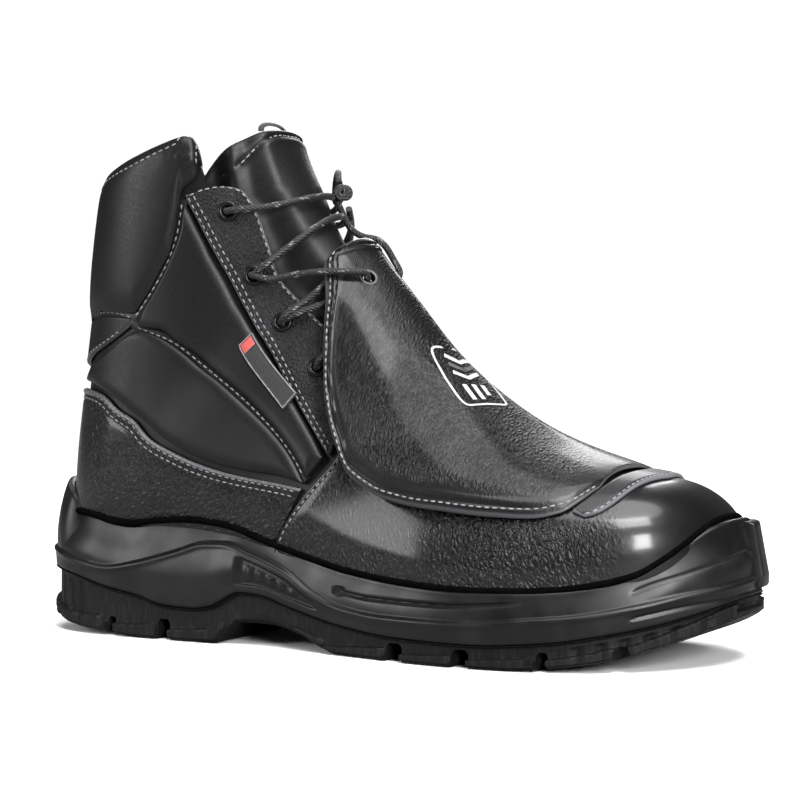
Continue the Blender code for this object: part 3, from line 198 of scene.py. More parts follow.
def lengths(points: np.ndarray, axis: int = 0) -> np.ndarray:
    """Running length along an axis of a grid of points, from 0."""
    steps = np.linalg.norm(np.diff(points, axis=axis), axis=-1)
    start = np.zeros_like(np.take(steps, [0], axis=axis))
    return np.cumsum(np.concatenate([start, steps], axis=axis), axis=axis)


class Last:
    """The foot form that every piece of the upper is read from."""

    side_samples = 60
    normal_step = (0.08, 0.012)

    def __init__(self, size: LastSize) -> None:
        """Builds the sections and the splines between them.

        Args:
            size: Driving sizes.
        """
        self.size = size
        self.sections = np.array([self._ring(row) for row in LAST_TABLE])
        self.bends = self._bends(self.sections)

    def _half(self, length: float, width: float, row: Station) -> np.ndarray:
        """One side of a section as (height, half width) rows, evenly spaced."""
        turn = np.linspace(0, math.pi / 2, 240)
        above, below = (1 - row.wide_at) * length, row.wide_at * length
        crown = [below + above * np.cos(turn) ** (2 / row.crown), width * np.sin(turn) ** (2 / row.crown)]
        floor = [below - below * np.sin(turn) ** (2 / row.floor), width * np.cos(turn) ** (2 / row.floor)]
        line = np.concatenate([np.stack(crown, 1), np.stack(floor, 1)[1:]])
        run = lengths(line)
        even = np.linspace(0, run[-1], self.side_samples + 1)
        return np.stack([np.interp(even, run, line[:, k]) for k in (0, 1)], 1)

    def _ring(self, row: Station) -> np.ndarray:
        """The closed section of one station, from girth -1 over the ridge to girth 1."""
        size = self.size
        low_z = row.seat_z * size.seat_height + row.back_z * size.boot_height
        bottom = np.array([(row.bottom_x - 0.5) * size.sole_length, low_z])
        top = np.array([(row.top_x - 0.5) * size.sole_length, row.top_z * size.boot_height])
        length = float(np.linalg.norm(top - bottom))
        rise = (top - bottom) / length
        sides = []
        for half, sign in ((row.lateral, -1), (row.medial, 1)):
            height, width = self._half(length, half * size.ball_width, row).T
            middle = bottom + height[:, None] * rise
            across = row.offset * size.ball_width + sign * width
            sides.append(np.stack([middle[:, 0], across, middle[:, 1]], 1))
        return np.concatenate([sides[0][::-1], sides[1][1:]])

    @staticmethod
    def _bends(rows: np.ndarray) -> np.ndarray:
        """Second derivatives of the natural splines through the rows."""
        count = len(rows)
        system = np.eye(count)
        right = np.zeros_like(rows)
        for i in range(1, count - 1):
            system[i, i - 1 : i + 2] = 1, 4, 1
            right[i] = 6 * (rows[i + 1] - 2 * rows[i] + rows[i - 1])
        return np.linalg.solve(system, right.reshape(count, -1)).reshape(rows.shape)

    def bare(self, station: np.ndarray, girth: np.ndarray) -> np.ndarray:
        """Points of the last itself. Girths past 1 run on round to the other side."""
        station, girth = np.broadcast_arrays(np.asarray(station, float), np.asarray(girth, float))
        column = ((girth + 1) % 2) * self.side_samples
        j = np.minimum(column.astype(int), 2 * self.side_samples - 1)
        i = np.clip(station.astype(int), 0, len(LAST_TABLE) - 2)
        b = (station - i)[..., None]
        a = 1 - b
        across = (column - j)[..., None]

        def along(k: np.ndarray) -> np.ndarray:
            curve = ((a**3 - a) * self.bends[i, k] + (b**3 - b) * self.bends[i + 1, k]) / 6
            return a * self.sections[i, k] + b * self.sections[i + 1, k] + curve

        return (1 - across) * along(j) + across * along(j + 1)

    def normal(self, station: np.ndarray, girth: np.ndarray) -> np.ndarray:
        """Outward unit normals of the last."""
        station, girth = np.broadcast_arrays(np.asarray(station, float), np.asarray(girth, float))
        ds, dg = self.normal_step
        low = np.maximum(station - ds, 0)
        along = self.bare(station + ds, girth) - self.bare(low, girth)
        round_it = self.bare(station, girth + dg) - self.bare(station, girth - dg)
        normal = np.cross(round_it, along)
        return normal / np.maximum(np.linalg.norm(normal, axis=-1, keepdims=True), 1e-12)

    def at(self, station: np.ndarray, girth: np.ndarray, lift: np.ndarray | float = 0.0) -> np.ndarray:
        """Points that stand off the last by lift, along its outward normal."""
        return self.bare(station, girth) + self.normal(station, girth) * np.asarray(lift)[..., None]

    def half_girth(self, station: float) -> float:
        """Length of the outer side of the section at this station."""
        return float(lengths(self.bare(station, np.linspace(-1, 0, 61)))[-1])

    def feather(self, station: float) -> float:
        """Girth at which the upper turns under the foot."""
        widths = [row.lateral * self.size.ball_width for row in LAST_TABLE]
        return 1 - 0.72 * float(smooth(range(len(LAST_TABLE)), widths, station)) / self.half_girth(station)


def linear(code: str) -> tuple[float, float, float, float]:
    """Turns an sRGB hex colour into linear RGBA."""
    parts = [int(code[k : k + 2], 16) / 255 for k in (1, 3, 5)]
    red, green, blue = (p / 12.92 if p <= 0.04045 else ((p + 0.055) / 1.055) ** 2.4 for p in parts)
    return red, green, blue, 1.0


Link = bpy.types.NodeSocket
Value = float | tuple[float, ...] | Link


def add_node(
    tree: bpy.types.NodeTree, kind: str, inputs: dict[str | int, Value], **settings: object
) -> bpy.types.Node:
    """Adds a shader node with its settings, values and links.

    Args:
        tree: Node tree that takes the node.
        kind: Blender's name of the node type.
        inputs: Values or output sockets, by the input's name or number.
        **settings: Properties of the node itself.

    Returns:
        The new node.
    """
    node = tree.nodes.new(kind)
    for key, value in settings.items():
        setattr(node, key, value)
    for key, value in inputs.items():
        if isinstance(value, bpy.types.NodeSocket):
            tree.links.new(value, node.inputs[key])
        else:
            node.inputs[key].default_value = value
    return node


class Surface:
    """A material under construction: its tree, its shader and the helpers that fill it."""

    def __init__(self, name: str) -> None:
        """Starts an empty material of that name."""
        self.material = bpy.data.materials.new(name)
        self.material.use_nodes = True
        self.tree = self.material.node_tree
        self.shader = self.tree.nodes["Principled BSDF"]
        self.place = add_node(self.tree, "ShaderNodeTexCoord", {}).outputs["Object"]

    def set(self, **values: Value) -> None:
        """Sets or links sockets of the shader; an underscore stands for a space."""
        for key, value in values.items():
            socket = self.shader.inputs[key.replace("_", " ")]
            if isinstance(value, bpy.types.NodeSocket):
                self.tree.links.new(value, socket)
            else:
                socket.default_value = value

    def flow(self) -> Link:
        """Coordinates along and across the piece, in metres."""
        return add_node(self.tree, "ShaderNodeUVMap", {}, uv_map="flow").outputs["UV"]

    def painted(self, name: str) -> Link:
        """A value painted on the mesh, such as how near its edge a point lies."""
        return add_node(self.tree, "ShaderNodeAttribute", {}, attribute_name=name).outputs["Fac"]

    def stretched(self, coordinates: Link, scale: tuple[float, float, float]) -> Link:
        """The same coordinates, scaled on each axis."""
        inputs: dict[str | int, Value] = {"Vector": coordinates, "Scale": scale}
        return add_node(self.tree, "ShaderNodeMapping", inputs).outputs["Vector"]

    def math(self, operation: str, first: Value, second: Value = 0.0, clamp: bool = False) -> Link:
        """One operation on one or two values."""
        inputs: dict[str | int, Value] = {0: first, 1: second}
        return add_node(self.tree, "ShaderNodeMath", inputs, operation=operation, use_clamp=clamp).outputs[0]

    def noise(self, coordinates: Link, size: float, detail: float = 3.0, rough: float = 0.5) -> Link:
        """Noise whose lumps measure about size metres across."""
        inputs: dict[str | int, Value] = {
            "Vector": coordinates, "Scale": 1 / size, "Detail": detail, "Roughness": rough,
        }
        return add_node(self.tree, "ShaderNodeTexNoise", inputs).outputs["Fac"]

    def cells(self, coordinates: Link, size: float, edge: float = 0.2) -> Link:
        """Rounded cells about size metres across, 0 in their creases and 1 on top."""
        inputs: dict[str | int, Value] = {"Vector": coordinates, "Scale": 1 / size}
        voronoi = add_node(self.tree, "ShaderNodeTexVoronoi", inputs, feature="DISTANCE_TO_EDGE")
        return self.ramp(voronoi.outputs["Distance"], 0.0, edge)

    def ramp(self, value: Link, low: float, high: float, bottom: float = 0.0, top: float = 1.0) -> Link:
        """Maps low to bottom and high to top, smoothly and no further."""
        inputs: dict[str | int, Value] = {
            "Value": value, "From Min": low, "From Max": high, "To Min": bottom, "To Max": top,
        }
        node = add_node(self.tree, "ShaderNodeMapRange", inputs, interpolation_type="SMOOTHSTEP")
        return node.outputs["Result"]

    def mix(self, share: Value, first: Value, second: Value) -> Link:
        """A colour between two others."""
        node = add_node(self.tree, "ShaderNodeMix", {}, data_type="RGBA")
        for key, value in ((0, share), (6, first), (7, second)):
            if isinstance(value, bpy.types.NodeSocket):
                self.tree.links.new(value, node.inputs[key])
            else:
                node.inputs[key].default_value = value
        return node.outputs[2]

    def bump(self, height: Link, depth: float, strength: Value = 1.0, over: Link | None = None) -> Link:
        """Tilts the surface as a relief of that depth in metres would."""
        inputs: dict[str | int, Value] = {"Height": height, "Distance": depth, "Strength": strength}
        if over is not None:
            inputs["Normal"] = over
        return add_node(self.tree, "ShaderNodeBump", inputs).outputs["Normal"]


@dataclass(frozen=True)
class SmoothLeather:
    """Corrected-grain leather: sanded, filled and pressed, so it shines softly and evenly."""

    name: str
    body: str
    rim: str
    roughness: float
    pore_mm: float = 1.1
    pore_depth_mm: float = 0.03
    drape_mm: float = 16.0
    drape_depth_mm: float = 0.35

    def build(self) -> bpy.types.Material:
        """Makes the material: faint pores, slow waves in the skin and lighter edges, partly the cut edge's own
        colour and partly a painted highlight.
        """
        s = Surface(self.name)
        drape = s.noise(s.place, self.drape_mm * MM, 1.5)
        pores = s.noise(s.place, self.pore_mm * MM, 3.0, 0.6)
        rim = s.painted("rim")
        worn = s.ramp(s.noise(s.place, 0.03), 0.35, 0.7, 0.0, 0.5)
        shade = s.mix(worn, linear(self.body), linear("#151517"))
        # Lighter edges: partly the cut edge's own colour, partly a painted highlight along the edges.
        s.set(Base_Color=s.mix(rim, shade, linear(self.rim)))
        s.set(Roughness=s.ramp(pores, 0.2, 0.8, self.roughness - 0.05, self.roughness + 0.07))
        s.set(IOR=1.5, Specular_IOR_Level=0.26)
        waved = s.bump(drape, self.drape_depth_mm * MM, 0.6)
        s.set(Normal=s.bump(pores, self.pore_depth_mm * MM, 0.8, waved))
        return s.material


@dataclass(frozen=True)
class PebbledLeather:
    """Full grain leather, milled so that its grain stands up in shiny pebbles."""

    name: str
    body: str
    # Lighter colour painted on the pebbles' tops as their highlights.
    tip: str
    rim: str
    cell_mm: float
    stretch: tuple[float, float]
    depth_mm: float
    roughness: float
    coat: float

    def build(self) -> bpy.types.Material:
        """Makes the material: pebbles along the flow of the piece, glossy on top, with their tops painted
        lighter as highlights and lighter edges, partly the edge's own colour and partly a painted highlight.
        """
        s = Surface(self.name)
        flow = s.stretched(s.flow(), (1 / self.stretch[0], 1 / self.stretch[1], 1.0))
        wander = add_node(s.tree, "ShaderNodeTexNoise", {"Vector": s.flow(), "Scale": 260.0, "Detail": 2.0})
        shift: dict[str | int, Value] = {
            0: wander.outputs["Color"], 1: (0.0009, 0.0009, 0.0), 2: flow,
        }
        bent = add_node(s.tree, "ShaderNodeVectorMath", shift, operation="MULTIPLY_ADD").outputs[0]
        pebbles = s.cells(bent, self.cell_mm * MM, 0.46)
        small = s.cells(bent, 0.45 * self.cell_mm * MM, 0.42)
        height = s.math("MULTIPLY_ADD", small, 0.3)
        s.tree.links.new(pebbles, height.node.inputs[2])
        grain = s.painted("grain")
        patch = s.ramp(s.noise(s.place, 0.018), 0.3, 0.7, 0.55, 1.0)
        shown = s.math("MULTIPLY", grain, patch)
        # Painted highlight: the pebbles' tops are coloured lighter, like the glints they catch.
        tips = s.math("MULTIPLY", s.ramp(height, 0.75, 1.3), shown)
        colour = s.mix(tips, linear(self.body), linear(self.tip))
        # Lighter edges: partly the cut edge's own colour, partly a painted highlight along the edges.
        s.set(Base_Color=s.mix(s.painted("rim"), colour, linear(self.rim)))
        s.set(Roughness=s.ramp(tips, 0.0, 0.8, self.roughness + 0.14, self.roughness))
        s.set(IOR=1.5, Specular_IOR_Level=0.22, Coat_Weight=self.coat, Coat_Roughness=0.14, Coat_IOR=1.35)
        waved = s.bump(s.noise(s.place, 0.011, 2.0), 0.45 * MM, 0.5)
        s.set(Normal=s.bump(height, self.depth_mm * MM, shown, waved))
        return s.material


@dataclass(frozen=True)
class MouldedFoam:
    """Injected polyurethane: a close satin skin that takes long soft highlights."""

    name: str = "injected_polyurethane"
    body: str = "#0d0d0e"
    roughness: float = 0.36

    def build(self) -> bpy.types.Material:
        """Makes the material: fine moulding texture and faint scuffs."""
        s = Surface(self.name)
        fine = s.noise(s.place, 0.5 * MM, 2.0)
        slow = s.noise(s.place, 14 * MM, 2.0)
        s.set(Base_Color=s.mix(s.ramp(slow, 0.4, 0.7), linear(self.body), linear("#141415")))
        s.set(Roughness=s.ramp(slow, 0.3, 0.7, self.roughness - 0.04, self.roughness + 0.1))
        s.set(IOR=1.5, Specular_IOR_Level=0.24, Coat_Weight=0.08, Coat_Roughness=0.25)
        s.set(Normal=s.bump(fine, 0.03 * MM, 0.5, s.bump(slow, 0.3 * MM, 0.4)))
        return s.material


@dataclass(frozen=True)
class MouldedRubber:
    """Vulcanised nitrile rubber: dull, with upright ribs cut into the lugs' walls."""

    name: str = "moulded_rubber"
    body: str = "#0b0b0c"
    rib_mm: float = 1.5

    def build(self) -> bpy.types.Material:
        """Makes the material: ribs on the walls, grit on the tread."""
        s = Surface(self.name)
        upright = s.stretched(s.place, (1 / (self.rib_mm * MM), 1 / (self.rib_mm * MM), 120.0))
        inputs: dict[str | int, Value] = {"Vector": upright, "Scale": 1.0, "Detail": 2.0}
        ribs = add_node(s.tree, "ShaderNodeTexNoise", inputs).outputs["Fac"]
        grit = s.noise(s.place, 0.7 * MM, 3.0)
        rough = s.math("MULTIPLY", s.painted("grain"), 0.9)
        s.set(Base_Color=s.mix(s.ramp(ribs, 0.45, 0.75), linear(self.body), linear("#18181a")))
        s.set(Roughness=s.ramp(grit, 0.3, 0.7, 0.48, 0.66), Specular_IOR_Level=0.2)
        s.set(Normal=s.bump(ribs, 0.25 * MM, rough, s.bump(grit, 0.05 * MM, 0.5)))
        return s.material


@dataclass(frozen=True)
class BraidedCord:
    """Polyester braid over a core, black with grey flecks: matte, each strand rounded."""

    name: str = "braided_polyester"
    body: str = "#0b0b0c"
    fleck: str = "#77777c"
    strand_mm: float = 0.75

    def build(self) -> bpy.types.Material:
        """Makes the material: crossing strands, some of them grey."""
        s = Surface(self.name)
        strand = self.strand_mm * MM
        waves = []
        for turn in (1, -1):
            inputs: dict[str | int, Value] = {
                "Vector": s.flow(), "Scale": (0.7 / strand, turn * 0.7 / strand, 1.0),
                "Rotation": (0.0, 0.0, turn * math.radians(38)),
            }
            bent = add_node(s.tree, "ShaderNodeMapping", inputs).outputs["Vector"]
            wave = add_node(s.tree, "ShaderNodeTexWave", {"Vector": bent, "Scale": 0.32}, wave_type="BANDS")
            waves.append(wave.outputs["Fac"])
        braid = s.math("MAXIMUM", waves[0], waves[1])
        flecks = s.ramp(s.noise(s.stretched(s.flow(), (1.0, 0.35, 1.0)), 1.7 * MM, 1.0), 0.58, 0.64)
        s.set(Base_Color=s.mix(s.math("MULTIPLY", flecks, braid), linear(self.body), linear(self.fleck)))
        s.set(Roughness=0.62, Sheen_Weight=0.04, Sheen_Roughness=0.5)
        s.set(Normal=s.bump(braid, 0.25 * MM, 0.8))
        return s.material


@dataclass(frozen=True)
class PlainFinish:
    """A simple finish whose one texture is a fine bump, such as thread, ink or lacquer."""

    name: str
    body: str
    other: str
    roughness: float
    grain_mm: float
    depth_mm: float
    metallic: float = 0.0
    sheen: float = 0.0
    specular: float = 0.5

    def build(self) -> bpy.types.Material:
        """Makes the material: two near colours in patches, with a fine bump."""
        s = Surface(self.name)
        patches = s.noise(s.place, 6 * self.grain_mm * MM, 2.0)
        grain = s.noise(s.place, self.grain_mm * MM, 3.0)
        s.set(Base_Color=s.mix(s.ramp(patches, 0.35, 0.65), linear(self.body), linear(self.other)))
        s.set(Roughness=s.ramp(grain, 0.3, 0.7, self.roughness - 0.05, self.roughness + 0.05))
        s.set(Metallic=self.metallic, Sheen_Weight=self.sheen, Specular_IOR_Level=self.specular)
        s.set(Normal=s.bump(grain, self.depth_mm * MM, 0.8))
        return s.material


@dataclass(frozen=True)
class SpacerMesh:
    """Warp-knitted lining: a soft open mesh of small round holes over foam."""

    name: str = "knitted_lining"
    body: str = "#2f2f31"
    hole_mm: float = 1.8

    def build(self) -> bpy.types.Material:
        """Makes the material: dark holes in a soft knit."""
        s = Surface(self.name)
        holes = s.cells(s.place, self.hole_mm * MM, 0.35)
        s.set(Base_Color=s.mix(holes, linear(self.body), linear("#161617")))
        s.set(Roughness=0.9, Sheen_Weight=0.3, Sheen_Roughness=0.6)
        s.set(Normal=s.bump(holes, -0.5 * MM, 0.9))
        return s.material


@dataclass
class Finishes:
    """All finishes of the boot, each built once."""

    padded: bpy.types.Material = field(init=False)
    pebbled: bpy.types.Material = field(init=False)
    guard: bpy.types.Material = field(init=False)
    eyestay: bpy.types.Material = field(init=False)
    foam: bpy.types.Material = field(init=False)
    rubber: bpy.types.Material = field(init=False)
    cord: bpy.types.Material = field(init=False)
    lining: bpy.types.Material = field(init=False)
    thread: bpy.types.Material = field(init=False)
    dark_thread: bpy.types.Material = field(init=False)
    ring: bpy.types.Material = field(init=False)
    ink: bpy.types.Material = field(init=False)
    ribbon: bpy.types.Material = field(init=False)
    red: bpy.types.Material = field(init=False)
    crease_shade: bpy.types.Material = field(init=False)

    def __post_init__(self) -> None:
        """Builds every material."""
        # Each leather lists its body colour, then for the pebbled ones a lighter colour painted on the
        # pebbles' tops as highlights, then its edge colour, partly the edge's own colour and partly a painted
        # highlight.
        self.padded = SmoothLeather("corrected_leather", "#0d0d0e", "#5c5c5f", 0.42).build()
        self.pebbled = PebbledLeather(
            "milled_full_grain", "#09090a", "#18181a", "#68686b", 2.0, (1.0, 1.4), 0.75, 0.22, 0.7
        ).build()
        self.guard = PebbledLeather(
            "milled_full_grain_guard", "#0a0a0b", "#1c1c1e", "#58585b", 1.8, (1.8, 0.9), 0.75, 0.30, 0.3
        ).build()
        self.eyestay = PebbledLeather(
            "matt_full_grain", "#161618", "#404044", "#6c6c70", 1.5, (1.0, 1.1), 0.80, 0.36, 0.2
        ).build()
        self.foam = MouldedFoam().build()
        self.rubber = MouldedRubber().build()
        self.cord = BraidedCord().build()
        self.lining = SpacerMesh().build()
        # Light dashes that draw the seams.
        self.thread = PlainFinish("bonded_nylon_thread", "#808083", "#68686b", 0.55, 0.4, 0.05).build()
        self.dark_thread = PlainFinish("black_nylon_thread", "#4a4a4d", "#343437", 0.5, 0.4, 0.05).build()
        # A small sharp glint round each lace hole.
        self.ring = PlainFinish(
            "lacquered_brass", "#141415", "#1b1b1c", 0.3, 0.8, 0.01, metallic=0.6
        ).build()
        # Pale flat strokes that stand out from the guard.
        self.ink = PlainFinish("screen_printed_ink", "#b5b0ad", "#a9a4a1", 0.5, 0.9, 0.06).build()
        # Dull cloth beside the glossy leather, and the one spot of colour.
        self.ribbon = PlainFinish(
            "woven_polyester", "#0c0c0d", "#131314", 0.75, 0.5, 0.10, sheen=0.3
        ).build()
        self.red = PlainFinish(
            "woven_red_polyester", "#b3463f", "#a03a35", 0.75, 0.5, 0.10, sheen=0.3
        ).build()
        # Painted shade: a near-black matt line laid where the leather meets the sole, standing in for the
        # shadow in that crease.
        self.crease_shade = PlainFinish(
            "painted_crease_shade", "#030303", "#050505", 0.95, 0.6, 0.05, specular=0.02
        ).build()


@dataclass
class Patch:
    """A grid of points with what is painted on them.

    flow holds each point's place along and across the piece in metres, with one more
    column than the points where the columns close on themselves.
    """

    points: np.ndarray
    grain: np.ndarray | float = 1.0
    rim: np.ndarray | float = 0.0
    flow: np.ndarray | None = None

    def laid_out(self, wrap: bool) -> np.ndarray:
        """The flow, measured on the points themselves where none is given."""
        if self.flow is not None:
            return self.flow
        points = self.points
        if wrap:
            points = np.concatenate([points, points[:, :1]], axis=1)
        across = lengths(points, axis=1)
        across = across - across[:, across.shape[1] // 2][:, None]
        along = lengths(points, axis=0)
        return np.stack([along, across], axis=-1)


class Mesher:
    """Gathers the closed bodies of one piece and makes them one mesh object."""

    def __init__(self, name: str) -> None:
        """Starts an empty piece of that name."""
        self.name = name
        self.points: list[np.ndarray] = []
        self.grain: list[np.ndarray] = []
        self.rim: list[np.ndarray] = []
        self.faces: list[tuple[int, ...]] = []
        self.flow: list[np.ndarray] = []
        self.slots: list[int] = []
        self.count = 0

    def _put(self, patch: Patch) -> np.ndarray:
        """Stores a patch's points and returns their numbers as a grid."""
        rows, columns = patch.points.shape[:2]
        self.points.append(patch.points.reshape(-1, 3))
        self.grain.append(np.broadcast_to(patch.grain, (rows, columns)).ravel())
        self.rim.append(np.broadcast_to(patch.rim, (rows, columns)).ravel())
        numbers = self.count + np.arange(rows * columns).reshape(rows, columns)
        self.count += rows * columns
        return numbers

    def _commit(self, bodies: list[tuple[np.ndarray, np.ndarray, int | np.ndarray]]) -> None:
        """Stores one body's faces, turned outwards.

        Args:
            bodies: Face corners (n, k), their flow (n, k, 2) and their material slots.
        """
        points = np.concatenate(self.points)
        volume = 0.0
        for corners, _, _ in bodies:
            for k in range(1, corners.shape[1] - 1):
                a, b, c = points[corners[:, 0]], points[corners[:, k]], points[corners[:, k + 1]]
                volume += float(np.einsum("ij,ij->", a, np.cross(b, c)))
        for corners, flow, slot in bodies:
            if volume < 0:
                corners, flow = corners[:, ::-1], flow[:, ::-1]
            self.faces.extend(map(tuple, corners.tolist()))
            self.flow.append(flow.reshape(-1, 2))
            self.slots.extend(np.broadcast_to(slot, len(corners)).tolist())

    def shell(
        self,
        outer: Patch,
        inner: Patch,
        keep: np.ndarray | None = None,
        wrap: bool = False,
        nose: bool = False,
        slots: tuple[int, int] = (0, 0),
    ) -> None:
        """Adds the closed body between two grids, walled round every cell left out.

        Args:
            outer: Outer skin.
            inner: Inner skin, with as many points.
            keep: Which cells are there, all if left out.
            wrap: Whether the columns close on themselves.
            nose: Whether the first row closes to a point.
            slots: Material slots of the outer and the inner skin.
        """
        rows, columns = outer.points.shape[:2]
        spans = columns if wrap else columns - 1
        kept = np.ones((rows - 1, spans), bool) if keep is None else keep
        top, low = self._put(outer), self._put(inner)
        flow = outer.laid_out(wrap)
        left, right = np.arange(spans), (np.arange(spans) + 1) % columns

        def corners(grid: np.ndarray) -> list[np.ndarray]:
            return [grid[:-1, left], grid[:-1, right], grid[1:, right], grid[1:, left]]

        spots = [flow[:-1, :spans], flow[:-1, 1 : spans + 1], flow[1:, 1 : spans + 1], flow[1:, :spans]]
        a, b, c, d = corners(top)
        e, f, g, h = corners(low)
        around = np.pad(kept, 1)
        if wrap:
            around[1:-1, 0], around[1:-1, -1] = kept[:, -1], kept[:, 0]
        before, after = kept & ~around[:-2, 1:-1], kept & ~around[2:, 1:-1]
        west, east = kept & ~around[1:-1, :-2], kept & ~around[1:-1, 2:]
        if nose:
            before[0] = False
        sets = [
            (kept, (a, b, c, d), (0, 1, 2, 3), slots[0]), (kept, (h, g, f, e), (3, 2, 1, 0), slots[1]),
            (before, (e, f, b, a), (0, 1, 1, 0), slots[0]), (after, (d, c, g, h), (3, 2, 2, 3), slots[0]),
            (west, (a, d, h, e), (0, 3, 3, 0), slots[0]), (east, (f, g, c, b), (1, 2, 2, 1), slots[0]),
        ]
        bodies = []
        for mask, numbers, places, slot in sets:
            chosen = np.stack([number[mask] for number in numbers], 1)
            bodies.append((chosen, np.stack([spots[k][mask] for k in places], 1), slot))
        if nose:
            tips = []
            for grid, skin, turn in ((outer, top, -1), (inner, low, 1)):
                tip = Patch(grid.points[0].mean(axis=0)[None, None], flow=flow[:1, :1])
                number = int(self._put(tip)[0, 0])
                tips.append(number)
                fan = np.stack([skin[0, left], skin[0, right], np.full(spans, number)], 1)[:, ::turn]
                bodies.append((fan, np.repeat(flow[:1, :spans].reshape(-1, 1, 2), 3, axis=1), slots[0]))
            if not wrap:
                ends = np.array([
                    (tips[0], top[0, 0], low[0, 0], tips[1]), (tips[1], low[0, -1], top[0, -1], tips[0]),
                ])
                bodies.append((ends, np.zeros((2, 4, 2)), slots[0]))
        self._commit(bodies)

    def tube(self, patch: Patch, ring: bool = False, slot: int | np.ndarray = 0) -> None:
        """Adds a closed body through rings of points, one ring a row.

        Args:
            patch: Rings, whose points close on themselves.
            ring: Whether the last ring joins the first. The ends are filled if not.
            slot: Material slot, or one for each point of a ring.
        """
        rows, columns = patch.points.shape[:2]
        numbers = self._put(patch)
        flow = patch.laid_out(True)
        if ring:
            numbers = np.concatenate([numbers, numbers[:1]])
            flow = np.concatenate([flow, flow[:1]])
        right = (np.arange(columns) + 1) % columns
        corners = np.stack([numbers[:-1], numbers[:-1, right], numbers[1:, right], numbers[1:]], -1)
        spots = np.stack([flow[:-1, :-1], flow[:-1, 1:], flow[1:, 1:], flow[1:, :-1]], 2)
        slots = np.broadcast_to(slot, corners.shape[:2]).ravel()
        bodies = [(corners.reshape(-1, 4), spots.reshape(-1, 4, 2), slots)]
        if not ring:
            for row, turn in ((0, -1), (rows - 1, 1)):
                hub = Patch(patch.points[row].mean(axis=0)[None, None], flow=flow[row : row + 1, :1])
                number = int(self._put(hub)[0, 0])
                fan = np.stack([numbers[row], numbers[row, right], np.full(columns, number)], 1)[:, ::turn]
                bodies.append((fan, np.repeat(flow[row, :columns][:, None], 3, axis=1), slots[0]))
        self._commit(bodies)

    def body(
        self, points: np.ndarray, faces: np.ndarray, slot: int = 0, flow: np.ndarray | None = None
    ) -> None:
        """Adds one closed body or several like ones from points and equal faces."""
        start = self.count
        self._put(Patch(points[None]))
        spots = np.zeros((*faces.shape, 2)) if flow is None else flow[faces]
        self._commit([(faces + start, spots, slot)])

    def make(self, materials: Sequence[bpy.types.Material], sharp: float = 42.0) -> bpy.types.Object:
        """Makes the mesh object.

        Args:
            materials: One for each slot.
            sharp: Angle in degrees from which an edge isn't smoothed over.

        Returns:
            The new object, linked to the scene.
        """
        mesh = bpy.data.meshes.new(self.name)
        mesh.from_pydata(np.concatenate(self.points).tolist(), [], self.faces)
        layer = mesh.uv_layers.new(name="flow")
        layer.data.foreach_set("uv", np.concatenate(self.flow).astype(np.float32).ravel())
        for name, parts in (("grain", self.grain), ("rim", self.rim)):
            painted = mesh.attributes.new(name, "FLOAT", "POINT")
            painted.data.foreach_set("value", np.concatenate(parts).astype(np.float32))
        mesh.polygons.foreach_set("material_index", np.array(self.slots, np.int32))
        for material in materials:
            mesh.materials.append(material)
        mesh.validate()
        mesh.shade_smooth()
        mesh.set_sharp_from_angle(angle=math.radians(sharp))
        piece = bpy.data.objects.new(self.name, mesh)
        bpy.context.scene.collection.objects.link(piece)
        return piece


def settle(piece: bpy.types.Object, slot: str, *nodes: str) -> bpy.types.Object:
    """Fixes a piece to the boot, in place of the nodes that it stands for."""
    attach(piece, BODY)
    if nodes:
        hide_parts(*nodes)
    LOG.info("%s: %d faces", piece.name, len(piece.data.polygons))
    return piece


class Edge(Enum):
    """The four edges of a layer's grid."""

    START = "start"
    END = "end"
    NEAR = "near"
    FAR = "far"


class Trail(NamedTuple):
    """A line on a surface: its points and the surface's normals there."""

    points: np.ndarray
    normals: np.ndarray


@dataclass
class Layer:
    """A grid laid on the last: its places and how far it stands off."""

    last: Last
    station: np.ndarray
    girth: np.ndarray
    lift: np.ndarray

    @property
    def points(self) -> np.ndarray:
        """Points of the grid."""
        return self.last.at(self.station, self.girth, self.lift)

    def inset(self, edge: Edge, distance: float, trim: float = 0.0) -> Trail:
        """A line that runs inside an edge.

        Args:
            edge: The edge that it follows. START and END are the first and last rows.
            distance: Metres from the edge.
            trim: Metres left out at both ends.

        Returns:
            The line on the layer's surface.
        """
        points, normals = self.points, self.last.normal(self.station, self.girth)
        if edge in (Edge.START, Edge.END):
            points, normals = points.transpose(1, 0, 2), normals.transpose(1, 0, 2)
        if edge in (Edge.END, Edge.FAR):
            points, normals = points[:, ::-1], normals[:, ::-1]
        run = lengths(points, axis=1)
        rows = []
        for line, normal, at in zip(points, normals, run):
            if at[-1] < 1.2 * distance:
                continue
            spot = [np.interp(distance, at, line[:, k]) for k in range(3)]
            rows.append(spot + [np.interp(distance, at, normal[:, k]) for k in range(3)])
        table = np.array(rows)
        along = lengths(table[:, :3])
        kept = np.linspace(trim, along[-1] - trim, 400)
        table = np.stack([np.interp(kept, along, table[:, k]) for k in range(6)], 1)
        return Trail(table[:, :3], table[:, 3:] / np.linalg.norm(table[:, 3:], axis=1, keepdims=True))


def edge_distance(points: np.ndarray, edges: Sequence[Edge] = tuple(Edge)) -> np.ndarray:
    """Metres from each point of a grid to the nearest of the named edges."""
    across, along = lengths(points, axis=1), lengths(points, axis=0)
    reach = {
        Edge.NEAR: across, Edge.FAR: across[:, -1:] - across,
        Edge.START: along, Edge.END: along[-1:] - along,
    }
    return np.minimum.reduce([reach[edge] for edge in edges])


